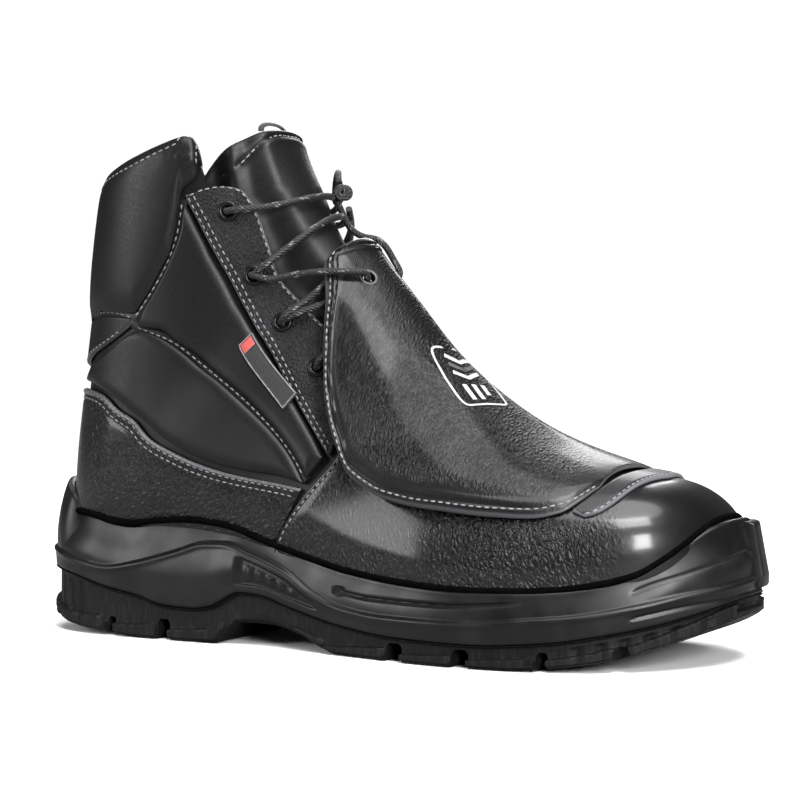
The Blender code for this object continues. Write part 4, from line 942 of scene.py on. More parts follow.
@dataclass(frozen=True)
class Thread:
    """How a row of stitches looks, in metres."""

    pitch: float = 0.0030
    length: float = 0.0021
    radius: float = 0.00036
    sides: int = 6

    def capsule(self) -> tuple[np.ndarray, np.ndarray]:
        """One stitch lying along X, as points and triangles."""
        turns = 2 * np.pi * np.arange(self.sides) / self.sides
        half, r = 0.5 * self.length, self.radius
        points = [np.array([[-half, 0, 0]])]
        for x, size in ((-0.72 * half, 0.8 * r), (0.0, r), (0.72 * half, 0.8 * r)):
            points.append(np.stack([np.full(self.sides, x), size * np.cos(turns), size * np.sin(turns)], 1))
        points.append(np.array([[half, 0, 0]]))
        faces = []
        for k in range(self.sides):
            n = (k + 1) % self.sides
            faces.append((0, 1 + n, 1 + k))
            for row in (0, 1):
                a, b = 1 + row * self.sides, 1 + (row + 1) * self.sides
                faces += [(a + k, a + n, b + n), (a + k, b + n, b + k)]
            last = 1 + 2 * self.sides
            faces.append((last + k, last + n, 1 + 3 * self.sides))
        return np.concatenate(points), np.array(faces)


class Stitching:
    """All rows of stitches of one sub-assembly, gathered into one piece."""

    def __init__(self, name: str, thread: Thread = Thread()) -> None:
        """Starts with no stitches.

        Args:
            name: Name of the piece.
            thread: Size of a stitch.
        """
        self.mesher = Mesher(name)
        self.thread = thread

    def sew(self, trail: Trail, sink: float = 0.00010, slot: int = 0) -> None:
        """Adds a row of stitches along a line.

        Args:
            trail: Line and normals.
            sink: How deep a stitch's middle lies under the line, in metres.
            slot: 0 for the light thread, 1 for the dark one.
        """
        thread = self.thread
        run = lengths(trail.points)
        count = int(run[-1] / thread.pitch)
        if count < 1:
            return
        at = (np.arange(count) + 0.5) * run[-1] / count
        half = 0.4 * thread.length

        def read_at(table: np.ndarray, where: np.ndarray) -> np.ndarray:
            return np.stack([np.interp(where, run, table[:, k]) for k in range(3)], 1)

        middle, up = read_at(trail.points, at), read_at(trail.normals, at)
        ahead = read_at(trail.points, at + half) - read_at(trail.points, at - half)
        ahead /= np.maximum(np.linalg.norm(ahead, axis=1, keepdims=True), 1e-9)
        side = np.cross(up, ahead)
        side /= np.maximum(np.linalg.norm(side, axis=1, keepdims=True), 1e-9)
        up = np.cross(ahead, side)
        points, faces = thread.capsule()
        placed = (middle - sink * up)[:, None] + points[None, :, :1] * ahead[:, None]
        placed = placed + points[None, :, 1:2] * side[:, None] + points[None, :, 2:] * up[:, None]
        shifts = (np.arange(count) * len(points))[:, None, None]
        self.mesher.body(placed.reshape(-1, 3), (faces[None] + shifts).reshape(-1, 3), slot)

    def finish(self, finishes: Finishes, slot: str) -> bpy.types.Object:
        """Makes the piece and fixes it to the boot."""
        piece = self.mesher.make([finishes.thread, finishes.dark_thread], 60)
        return settle(piece, slot)


def pipe(path: np.ndarray, radius: np.ndarray | float, sides: int = 12, flat: float = 1.0) -> Patch:
    """Rings round a line, for a cord.

    Args:
        path: Points of the line.
        radius: Radius, or one for each point.
        sides: Points in a ring.
        flat: Thickness as a share of the width.

    Returns:
        The rings with their flow round and along the cord.
    """
    ahead = np.gradient(path, axis=0)
    ahead /= np.linalg.norm(ahead, axis=1, keepdims=True)
    radius = np.broadcast_to(radius, len(path))
    turns = 2 * np.pi * np.arange(sides) / sides
    up = np.cross(ahead[0], (0.3, 0.5, 0.8))
    rings = []
    for point, way, size in zip(path, ahead, radius):
        up = up - way * np.dot(up, way)
        up /= np.linalg.norm(up)
        other = np.cross(way, up)
        spread = np.cos(turns)[:, None] * up + flat * np.sin(turns)[:, None] * other
        rings.append(point + size * spread)
    run = lengths(path)
    round_it = 2 * np.pi * float(radius.mean()) * np.arange(sides + 1) / sides
    flow = np.stack(np.broadcast_arrays(round_it[None], run[:, None]), -1)
    return Patch(np.array(rings), flow=flow)


def smooth_path(points: Sequence[Sequence[float]], count: int) -> np.ndarray:
    """A smooth line of count points through the given ones."""
    table = np.asarray(points, float)
    knots = lengths(table)
    at = np.linspace(0, knots[-1], count)
    return np.stack([smooth(knots, table[:, k], at) for k in range(3)], axis=1)


# Lifts off the last, in metres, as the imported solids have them.
BASE_LIFT = -0.0016
WALL = 0.0022
SEWN_LIFT = -0.0007
VAMP_LIFT = 0.0012
COUNTER_LIFT = 0.0006
EYESTAY_LIFT = 0.0009
PAD_LIFT = 0.0020
BAND_LIFT = 0.0010
COLLAR_OUT = 0.0028
COLLAR_IN = -0.0100
GAP = 0.0004
TONGUE_UNDER = -0.0044
TONGUE_THICK = 0.0052
TONGUE_TUCK = 0.0072
LACE_RADIUS = 0.0014
LACE_LIFT = 0.0036
LACE_LOW = 0.0010
EYELET_BORE = 0.0022
EYELET_EDGE = 0.0040
EYELET_STAND = 0.0009
GUARD_BORE = 0.0028
THROAT_START = 10.85
OPEN_FLOOR = (1.5, 13.5)


class Run(NamedTuple):
    """Places on both long edges of a sewn-on piece, with girths for the outer side."""

    station_a: float
    girth_a: float
    station_b: float
    girth_b: float


THROAT = (
    (10.0, 0.10), (10.85, 0.12), (12.2, 0.155), (13.3, 0.150), (15.3, 0.158),
    (17.0, 0.185), (17.6, 0.210), (18.2, 0.300), (18.5, 0.318), (20.6, 0.345),
)
EYESTAY = (
    Run(10.72, 0.165, 10.80, 0.430), Run(11.20, 0.165, 11.20, 0.402), Run(11.80, 0.170, 11.80, 0.357),
    Run(12.50, 0.168, 12.50, 0.306), Run(13.10, 0.162, 13.10, 0.276), Run(13.80, 0.160, 13.80, 0.255),
    Run(14.50, 0.162, 14.50, 0.255), Run(15.30, 0.165, 15.30, 0.271), Run(16.00, 0.173, 16.00, 0.293),
    Run(16.80, 0.186, 16.80, 0.325), Run(17.40, 0.204, 17.40, 0.348), Run(17.75, 0.225, 17.80, 0.364),
    Run(18.05, 0.270, 18.20, 0.382), Run(18.22, 0.326, 18.34, 0.386),
)
QUARTER = (
    Run(10.86, 0.441, 11.00, 0.512), Run(11.25, 0.408, 11.30, 0.484), Run(11.80, 0.366, 11.80, 0.449),
    Run(12.50, 0.315, 12.50, 0.414), Run(13.10, 0.285, 13.10, 0.394), Run(13.80, 0.264, 13.80, 0.381),
    Run(14.50, 0.264, 14.50, 0.396), Run(15.30, 0.280, 15.30, 0.448), Run(15.90, 0.299, 15.85, 0.494),
    Run(16.40, 0.319, 16.32, 0.562), Run(16.80, 0.334, 16.58, 0.522), Run(17.20, 0.350, 16.95, 0.462),
    Run(17.70, 0.369, 17.45, 0.415), Run(18.10, 0.386, 17.98, 0.398),
)
ANKLE = (
    Run(11.02, 0.526, 11.05, 0.530), Run(11.45, 0.482, 11.50, 0.548), Run(12.08, 0.446, 12.00, 0.574),
    Run(12.90, 0.412, 12.70, 0.582), Run(13.60, 0.395, 13.50, 0.563), Run(14.40, 0.406, 14.20, 0.562),
    Run(15.20, 0.452, 14.90, 0.606), Run(15.80, 0.504, 15.50, 0.662), Run(16.28, 0.575, 15.95, 0.720),
    Run(16.38, 0.660, 16.20, 0.760), Run(16.58, 0.760, 16.42, 0.808),
)
COUNTER = (
    Run(11.29, 0.840, 11.04, 0.543), Run(11.70, 0.850, 11.50, 0.568), Run(12.20, 0.850, 12.10, 0.594),
    Run(12.60, 0.850, 12.75, 0.597), Run(13.00, 0.850, 13.30, 0.586), Run(13.30, 0.860, 13.90, 0.580),
    Run(13.74, 0.862, 14.50, 0.592), Run(14.14, 0.885, 15.10, 0.643), Run(14.44, 0.920, 15.75, 0.706),
    Run(14.56, 0.955, 16.26, 0.800), Run(14.60, 0.980, 16.52, 0.890), Run(14.61, 1.000, 16.62, 1.000),
)
BACK_BAND = (
    Run(16.50, 0.585, 16.58, 0.585), Run(16.54, 0.64, 16.86, 0.64), Run(16.66, 0.72, 17.20, 0.72),
    Run(16.80, 0.80, 17.42, 0.80), Run(16.88, 0.90, 17.50, 0.90), Run(16.92, 1.0, 17.53, 1.0),
)
TAG = (
    Run(11.75, 0.345, 11.82, 0.395), Run(12.3, 0.322, 12.35, 0.366), Run(12.9, 0.295, 12.95, 0.336),
    Run(13.38, 0.274, 13.42, 0.312),
)
STRIP = (
    Run(4.40, 0.02, 5.10, 0.02), Run(4.50, 0.11, 5.14, 0.11), Run(4.68, 0.22, 5.26, 0.22),
    Run(4.86, 0.295, 5.44, 0.295), Run(5.12, 0.345, 5.60, 0.335), Run(5.42, 0.366, 5.66, 0.352),
)
# Lower edge of the collar and rear edge of the vamp, as (girth, station).
COLLAR_SEAM = (
    (0.318, 18.62), (0.36, 18.64), (0.392, 18.60), (0.415, 17.95), (0.45, 17.28), (0.525, 16.82),
    (0.575, 16.66), (0.64, 16.95), (0.728, 17.34), (0.80, 17.50), (1.0, 17.58),
)
# Seams between the padded panels, as (station, girth).
SEAMS = (
    (
        (11.01, 0.519), (11.38, 0.483), (11.94, 0.4475), (12.70, 0.413), (13.35, 0.3935), (14.10, 0.391),
        (14.85, 0.423), (15.55, 0.477), (16.05, 0.533), (16.36, 0.572), (16.52, 0.590),
    ),
    (
        (18.30, 0.397), (17.95, 0.4065), (17.37, 0.4325), (17.05, 0.462), (16.78, 0.512), (16.62, 0.556),
        (16.54, 0.586),
    ),
    ((16.56, 0.583), (16.90, 0.64), (17.27, 0.724), (17.47, 0.80), (17.55, 0.90), (17.565, 1.0)),
)
VAMP_EDGE = (
    (0.0, 10.50), (0.30, 10.52), (0.437, 10.66), (0.522, 10.86), (0.626, 11.08), (0.70, 11.16), (0.90, 11.20),
)


class Shield(NamedTuple):
    """Half girth of the guard's edge at a station, and how far its skins stand off."""

    station: float
    girth: float
    inner: float
    outer: float


GUARD = (
    Shield(5.36, 0.250, 0.0017, 0.0034), Shield(5.55, 0.310, 0.0018, 0.0040),
    Shield(5.85, 0.360, 0.0020, 0.0048), Shield(6.4, 0.386, 0.0023, 0.0060),
    Shield(7.1, 0.394, 0.0030, 0.0074), Shield(8.0, 0.406, 0.0038, 0.0086),
    Shield(8.8, 0.426, 0.0044, 0.0094), Shield(9.4, 0.438, 0.0049, 0.0100),
    Shield(10.0, 0.434, 0.0054, 0.0106), Shield(10.6, 0.388, 0.0062, 0.0111),
    Shield(11.1, 0.322, 0.0070, 0.0115), Shield(11.65, 0.225, 0.0076, 0.0118),
    Shield(12.3, 0.140, 0.0081, 0.0118), Shield(12.8, 0.105, 0.0083, 0.0116),
    Shield(13.2, 0.085, 0.0083, 0.0113), Shield(13.45, 0.058, 0.0082, 0.0108),
)


class Hole(NamedTuple):
    """Place of a lace hole, with its girth for one side."""

    station: float
    girth: float


GUARD_HOLE = Hole(12.0, 0.044)
EYELETS = (Hole(17.27, 0.262), Hole(14.98, 0.214), Hole(12.98, 0.222), Hole(11.71, 0.262))
TONGUE = (
    (10.95, 0.085), (11.6, 0.20), (12.4, 0.265), (14.0, 0.265), (16.0, 0.275),
    (17.2, 0.300), (18.2, 0.345), (19.0, 0.365), (19.5, 0.350),
)


def read(table: Sequence[Sequence[float]], at: np.ndarray | float) -> np.ndarray:
    """The second column of a table against its first, straight between rows."""
    rows = np.array(table, float)
    return np.interp(at, rows[:, 0], rows[:, 1])


def read_smooth(table: Sequence[Sequence[float]], column: int, at: np.ndarray) -> np.ndarray:
    """A column of a table against its first, on a curve that keeps within its values."""
    rows = np.array(table, float)
    return eased(rows[:, 0], rows[:, column], at)


def side_layer(last: Last, table: Sequence[Run], side: int, count: int, across: int) -> Layer:
    """A layer on one side of the boot.

    Args:
        last: The last.
        table: Its edges.
        side: -1 for the outer side, 1 for the inner.
        count: Points along it.
        across: Points across it.

    Returns:
        The layer, with no lift yet.
    """
    rows = np.array(table, float)
    at = crowded(count)
    sa, ga, sb, gb = (smooth(np.linspace(0, 1, len(rows)), rows[:, k], at)[:, None] for k in range(4))
    share = crowded(across, 0.8)[None]
    station, girth = sa + (sb - sa) * share, side * (ga + (gb - ga) * share)
    return Layer(last, station, girth, np.zeros_like(station))


def wrapped_layer(last: Last, table: Sequence[Run], count: int, across: int) -> Layer:
    """A layer from the outer side round the heel to the inner side, with no lift yet."""
    rows = np.array(table, float)
    at = np.linspace(0, 1, count)
    sa, ga, sb, gb = (smooth(np.linspace(0, 1, len(rows)), rows[:, k], at) for k in range(4))
    sa, sb = (np.concatenate([line, line[-2::-1]])[:, None] for line in (sa, sb))
    ga, gb = (np.concatenate([-line, line[-2::-1] - 2])[:, None] for line in (ga, gb))
    share = crowded(across, 0.8)[None]
    station, girth = sa + (sb - sa) * share, ga + (gb - ga) * share
    return Layer(last, station, girth, np.zeros_like(station))


def rounded_drill(
    last: Last, holes: Sequence[Hole], radius: float, reach: tuple[float, float]
) -> bpy.types.Object:
    """A cutter with a round bar through each hole on both sides, which isn't shown."""
    mesher = Mesher("hole_cutter")
    turns = 2 * np.pi * np.arange(20) / 20
    for hole in holes:
        for side in Side:
            centre, along, across, normal = hole_frame(last, hole, side.value, 0.0)
            ring = radius * (np.cos(turns)[:, None] * along + np.sin(turns)[:, None] * across)
            mesher.tube(Patch(np.stack([centre + normal * level + ring for level in reach])))
    return mesher.make([])


def hole_frame(last: Last, hole: Hole, side: int, lift: float) -> tuple[np.ndarray, ...]:
    """Centre, two directions in the skin and the outward normal at a hole."""
    girth = side * hole.girth
    centre, normal = last.at(hole.station, girth, lift), last.normal(hole.station, girth)
    along = last.bare(hole.station + 0.1, girth) - last.bare(hole.station - 0.1, girth)
    along /= np.linalg.norm(along)
    return centre, along, np.cross(normal, along), normal


def cut(piece: bpy.types.Object, cutter: bpy.types.Object) -> None:
    """Cuts a piece for good, and leaves the cutter as it is."""
    modifier = piece.modifiers.new("cut", "BOOLEAN")
    modifier.operation = "DIFFERENCE"
    modifier.solver = "EXACT"
    modifier.use_self = True
    modifier.object = cutter
    shown = piece.evaluated_get(bpy.context.evaluated_depsgraph_get())
    mesh = bpy.data.meshes.new_from_object(shown)
    piece.modifiers.clear()
    piece.data = mesh


def discard(cutter: bpy.types.Object) -> None:
    """Removes a cutter that has done its work."""
    mesh = cutter.data
    bpy.data.objects.remove(cutter)
    bpy.data.meshes.remove(mesh)


@dataclass
class BaseUpper:
    """The thin upper under all the sewn-on layers, with its knitted lining."""

    last: Last
    finishes: Finishes
    rows: int = 120
    columns: tuple[int, int, int] = (4, 34, 6)

    def places(self) -> tuple[np.ndarray, np.ndarray]:
        """Stations and girths of the grid, whose columns follow the throat and the feather edge."""
        coarse = np.linspace(0, 19.6, self.rows - 4)
        stations = np.unique(np.concatenate([coarse, [OPEN_FLOOR[0], OPEN_FLOOR[1], THROAT_START, 19.3]]))
        grid = []
        for station in stations:
            throat = float(read(THROAT, station))
            feather = self.last.feather(station)
            if station > OPEN_FLOOR[1]:
                feather = min(feather, self.last.feather(OPEN_FLOOR[1]))
            a, b, c = self.columns
            side = np.concatenate([
                np.linspace(0, throat, a + 1), np.linspace(throat, feather, b + 1)[1:],
                np.linspace(feather, 1, c + 1)[1:],
            ])
            grid.append(np.concatenate([-side[::-1], side[1:-1]]))
        girth = np.array(grid)
        return np.repeat(stations[:, None], girth.shape[1], axis=1), girth

    def build(self, drill: bpy.types.Object) -> bpy.types.Object:
        """Builds the shell, open at the collar, down the throat and under the foot.

        Args:
            drill: Cutter of the lace holes.

        Returns:
            The piece.
        """
        station, girth = self.places()
        rows = station[:, 0].copy()
        corner = 1 - np.clip((np.abs(girth) - 0.33) / 0.09, 0, 1)
        station = np.where(station > 18, 18 + (station - 18) * (1 - 0.5 * corner**2), station)
        spans = girth.shape[1]
        keep = np.ones((len(rows) - 1, spans), bool)
        throat, side, bottom = self.columns
        middle = throat + side + bottom
        keep[rows[:-1] >= THROAT_START, middle - throat : middle + throat] = False
        floor = (rows[:-1] >= OPEN_FLOOR[0]) & (rows[:-1] < OPEN_FLOOR[1])
        keep[floor, :bottom] = False
        keep[floor, spans - bottom :] = False
        mesher = Mesher("upper_shell")
        outer = Patch(self.last.at(station, girth, BASE_LIFT), grain=0.3)
        inner = Patch(self.last.at(station, girth, BASE_LIFT - WALL))
        mesher.shell(outer, inner, keep, wrap=True, nose=True, slots=(0, 1))
        piece = mesher.make([self.finishes.padded, self.finishes.lining])
        cut(piece, drill)
        return settle(piece, "smooth_leather", "upper")


@dataclass
class Vamp:
    """The front layer: a glossy smooth toe cap that turns pebbled towards its rear seam."""

    last: Last
    finishes: Finishes
    rows: int = 150
    columns: int = 150
    fold: float = 0.0012
    row_inset: float = 0.0026

    def build(self, stitching: Stitching) -> bpy.types.Object:
        """Builds the vamp and its rear seam.

        Args:
            stitching: Takes the row of stitches.

        Returns:
            The piece.
        """
        share = np.linspace(0, 1, self.rows)
        share = np.concatenate([share[:-1], 1 - np.array([0.008, 0.005, 0.0025, 0.0])])
        across = np.linspace(-1, 1, self.columns)
        station, girth = [], []
        for t in share:
            reach = self.last.feather(min(10.5 * t, 10.5))
            line = across * reach
            seam = read_smooth(VAMP_EDGE, 1, np.abs(line))
            station.append(seam * t)
            girth.append(line)
        station, girth = np.array(station), np.array(girth)
        layer = Layer(self.last, station, girth, np.full_like(station, VAMP_LIFT))
        distance = edge_distance(layer.points, (Edge.END,))
        roll = rounded(distance, self.fold)
        tuck = SEWN_LIFT + 1.5 * GAP
        groove = 0.00025 * np.exp(-(((distance - self.row_inset) / 0.0009) ** 2))
        lip = 0.0003 * np.exp(-(((distance - 0.0012) / 0.0011) ** 2))
        layer.lift = tuck + (VAMP_LIFT - tuck) * roll + lip - groove
        grain = step_up(station, 4.2, 6.4) * step_up(np.abs(girth), 0.1, 0.3)
        # Painted highlight: a lighter band along the rolled rear edge, where it would catch the light.
        rim = step_up(distance, 0.0009, 0.0003)
        mesher = Mesher("vamp_leather")
        outer = Patch(layer.points, grain=grain, rim=0.8 * rim)
        mesher.shell(outer, Patch(self.last.at(station, girth, SEWN_LIFT + GAP)), nose=True)
        stitching.sew(layer.inset(Edge.END, self.row_inset, 0.001))
        return settle(mesher.make([self.finishes.pebbled]), "full_grain_leather", "vamp")


@dataclass
class Counter:
    """The heel layer, folded along its top edge and sewn with two rows."""

    last: Last
    finishes: Finishes
    fold: float = 0.0012
    row_insets: tuple[float, float] = (0.0024, 0.0048)

    def build(self, stitching: Stitching) -> bpy.types.Object:
        """Builds the counter and its two rows of stitches."""
        layer = wrapped_layer(self.last, COUNTER, 110, 46)
        distance = edge_distance(layer.points, (Edge.FAR, Edge.START, Edge.END))
        top = edge_distance(layer.points, (Edge.FAR,))
        layer.lift = SEWN_LIFT + GAP + (COUNTER_LIFT - SEWN_LIFT - GAP) * rounded(distance, self.fold)
        layer.lift = layer.lift + 0.0005 * np.exp(-(((top - 0.0010) / 0.0009) ** 2))
        for inset in self.row_insets:
            layer.lift = layer.lift - 0.0002 * np.exp(-(((top - inset) / 0.0007) ** 2))
        grain = step_up(np.abs((layer.girth + 2) % 2 - 1), 0.0, 0.35)
        low = self.last.at(layer.station, layer.girth, SEWN_LIFT + GAP)
        mesher = Mesher("counter_leather")
        # Painted highlight: a lighter band along the folded top edge, where it would catch the light.
        rim = step_up(top, 0.0016, 0.0008)
        mesher.shell(Patch(layer.points, grain=0.15 + 0.75 * grain, rim=0.75 * rim), Patch(low))
        for inset in self.row_insets:
            stitching.sew(layer.inset(Edge.FAR, inset, 0.002))
        return settle(mesher.make([self.finishes.pebbled]), "full_grain_leather", "counter")


@dataclass
class BackBand:
    """A narrow band between the counter and the collar, with a cut lower edge."""

    last: Last
    finishes: Finishes

    def build(self, stitching: Stitching) -> bpy.types.Object:
        """Builds the band and its row of stitches."""
        layer = wrapped_layer(self.last, BACK_BAND, 90, 16)
        distance = edge_distance(layer.points)
        low = edge_distance(layer.points, (Edge.NEAR,))
        layer.lift = SEWN_LIFT + (BAND_LIFT - SEWN_LIFT) * rounded(distance, 0.0009)
        mesher = Mesher("back_band_leather")
        under = self.last.at(layer.station, layer.girth, SEWN_LIFT)
        # Lighter edge band: partly the cut edge's own colour, partly a painted highlight along it.
        mesher.shell(Patch(layer.points, rim=0.8 * step_up(low, 0.0009, 0.0003)), Patch(under))
        stitching.sew(layer.inset(Edge.NEAR, 0.0021, 0.008))
        return settle(mesher.make([self.finishes.padded]), "smooth_leather", "back_band")


@dataclass
class SidePads:
    """The padded quarter and ankle panels of both sides, sunk along their seams."""

    last: Last
    finishes: Finishes
    slope: float = 0.0052
    puff: float = 0.0007
    foot: float = 0.0004

    def build(self) -> list[bpy.types.Object]:
        """Builds the four panels."""
        pieces = []
        for name, table, fill in (("quarter_pad", QUARTER, 0.6), ("ankle_pad", ANKLE, 0.75)):
            for side in Side:
                word = side.name.lower()
                layer = side_layer(self.last, table, side.value, 130, 40)
                distance = edge_distance(layer.points)
                top = PAD_LIFT + self.puff
                layer.lift = self.foot + (top - self.foot) * rounded(distance, self.slope)
                mesher = Mesher(f"{name}_{word}_leather")
                low = self.last.at(layer.station, layer.girth, SEWN_LIFT)
                mesher.shell(Patch(layer.points), Patch(low))
                piece = mesher.make([self.finishes.padded])
                pieces.append(settle(piece, "smooth_leather", f"{name}_{word}"))
        return pieces


@dataclass
class SeamBeds:
    """The sunk seams between the padded panels: a narrow bed of leather, sewn along its middle."""

    last: Last
    finishes: Finishes
    half_width: float = 0.0020
    lift: float = 0.0003

    def build(self, stitching: Stitching) -> bpy.types.Object:
        """Builds the beds of both sides and their stitches."""
        mesher = Mesher("seam_beds_leather")
        share = np.linspace(-1, 1, 9)[None, :, None]
        for seam in SEAMS:
            table = np.array(seam)
            knots = lengths(self.last.at(table[:, 0], -table[:, 1]))
            at = np.linspace(0, knots[-1], 140)
            station, girth = (smooth(knots, table[:, k], at) for k in range(2))
            for side in Side:
                line = self.last.at(station, side.value * girth, self.lift)
                normal = self.last.normal(station, side.value * girth)
                across = np.cross(normal, np.gradient(line, axis=0))
                across /= np.linalg.norm(across, axis=1, keepdims=True)
                outer = line[:, None] + self.half_width * share * across[:, None]
                outer = outer - 0.0004 * share**2 * normal[:, None]
                mesher.shell(Patch(outer), Patch(outer - 0.0014 * normal[:, None]))
                stitching.sew(Trail(line[4:-4], normal[4:-4]), 0.0)
        return settle(mesher.make([self.finishes.padded]), "smooth_leather")


@dataclass
class Eyestays:
    """The two flat facings that carry the lace holes, with cut edges."""

    last: Last
    finishes: Finishes
    rear_rows: tuple[float, float] = (0.0020, 0.0042)
    front_row: float = 0.0018

    def build(self, stitching: Stitching, drill: bpy.types.Object) -> list[bpy.types.Object]:
        """Builds both facings, their lace holes and their stitches."""
        pieces = []
        for side in Side:
            layer = side_layer(self.last, EYESTAY, side.value, 150, 44)
            distance = edge_distance(layer.points)
            layer.lift = SEWN_LIFT + GAP + (EYESTAY_LIFT - SEWN_LIFT - GAP) * rounded(distance, 0.0007)
            mesher = Mesher(f"eyestay_{side.name.lower()}_leather")
            # Lighter edge band: partly the cut edge's own colour, partly a painted highlight along it.
            rim = 0.8 * step_up(distance, 0.0008, 0.0003)
            under = Patch(self.last.at(layer.station, layer.girth, SEWN_LIFT))
            mesher.shell(Patch(layer.points, rim=rim), under)
            for inset in self.rear_rows:
                stitching.sew(layer.inset(Edge.FAR, inset, 0.002))
            stitching.sew(layer.inset(Edge.NEAR, self.front_row, 0.002))
            stitching.sew(layer.inset(Edge.END, self.front_row, 0.002))
            piece = mesher.make([self.finishes.eyestay])
            cut(piece, drill)
            pieces.append(settle(piece, "full_grain_leather", f"eyestay_{side.name.lower()}"))
        return pieces


@dataclass
class Eyelets:
    """Lacquered rings pressed over the lace holes."""

    last: Last
    finishes: Finishes

    def build(self) -> list[bpy.types.Object]:
        """Builds the eight rings, each its own piece."""
        pieces = []
        turns = 2 * np.pi * np.arange(36) / 36
        arc = np.linspace(0, np.pi, 9)
        middle, half = 0.5 * (EYELET_EDGE + EYELET_BORE), 0.5 * (EYELET_EDGE - EYELET_BORE)
        radii = np.concatenate([middle + half * np.cos(arc), [EYELET_BORE, EYELET_EDGE]])
        heights = np.concatenate([EYELET_STAND * np.sin(arc) ** 0.8, [-0.0012, -0.0004]])
        for side in Side:
            for number, hole in enumerate(EYELETS, 1):
                frame_at = hole_frame(self.last, hole, side.value, EYESTAY_LIFT + 0.5 * GAP)
                centre, along, across, normal = frame_at
                out = np.cos(turns)[:, None] * along + np.sin(turns)[:, None] * across
                rings = centre + out[:, None] * radii[None, :, None] + heights[None, :, None] * normal
                word = side.name.lower()
                mesher = Mesher(f"eyelet_ring_{word}_{number}")
                mesher.tube(Patch(rings), ring=True)
                piece = mesher.make([self.finishes.ring])
                pieces.append(settle(piece, "eyelet_metal", f"eyelet_{word}_{number}"))
        return pieces


def closed_curve(points: np.ndarray, count: int) -> np.ndarray:
    """Resamples closed lines evenly on a smooth curve through their points.

    Args:
        points: Lines (rows, points, 3), each closing on itself.
        count: Points wanted in each.

    Returns:
        The new lines (rows, count, 3).
    """
    shares = np.linspace(0, 1, 9)[:-1]
    before, after, later = (np.roll(points, -k, axis=1) for k in (-1, 1, 2))
    fine = []
    for t in shares:
        fine.append(
            0.5 * (2 * points + (after - before) * t + (2 * before - 5 * points + 4 * after - later) * t**2
                   + (3 * points - before - 3 * after + later) * t**3)
        )
    line = np.stack(fine, 2).reshape(len(points), -1, 3)
    line = np.concatenate([line, line[:, :1]], axis=1)
    out = []
    for row in line:
        run = lengths(row)
        at = np.linspace(0, run[-1], count + 1)[:-1]
        out.append(np.stack([np.interp(at, run, row[:, k]) for k in range(3)], 1))
    return np.array(out)


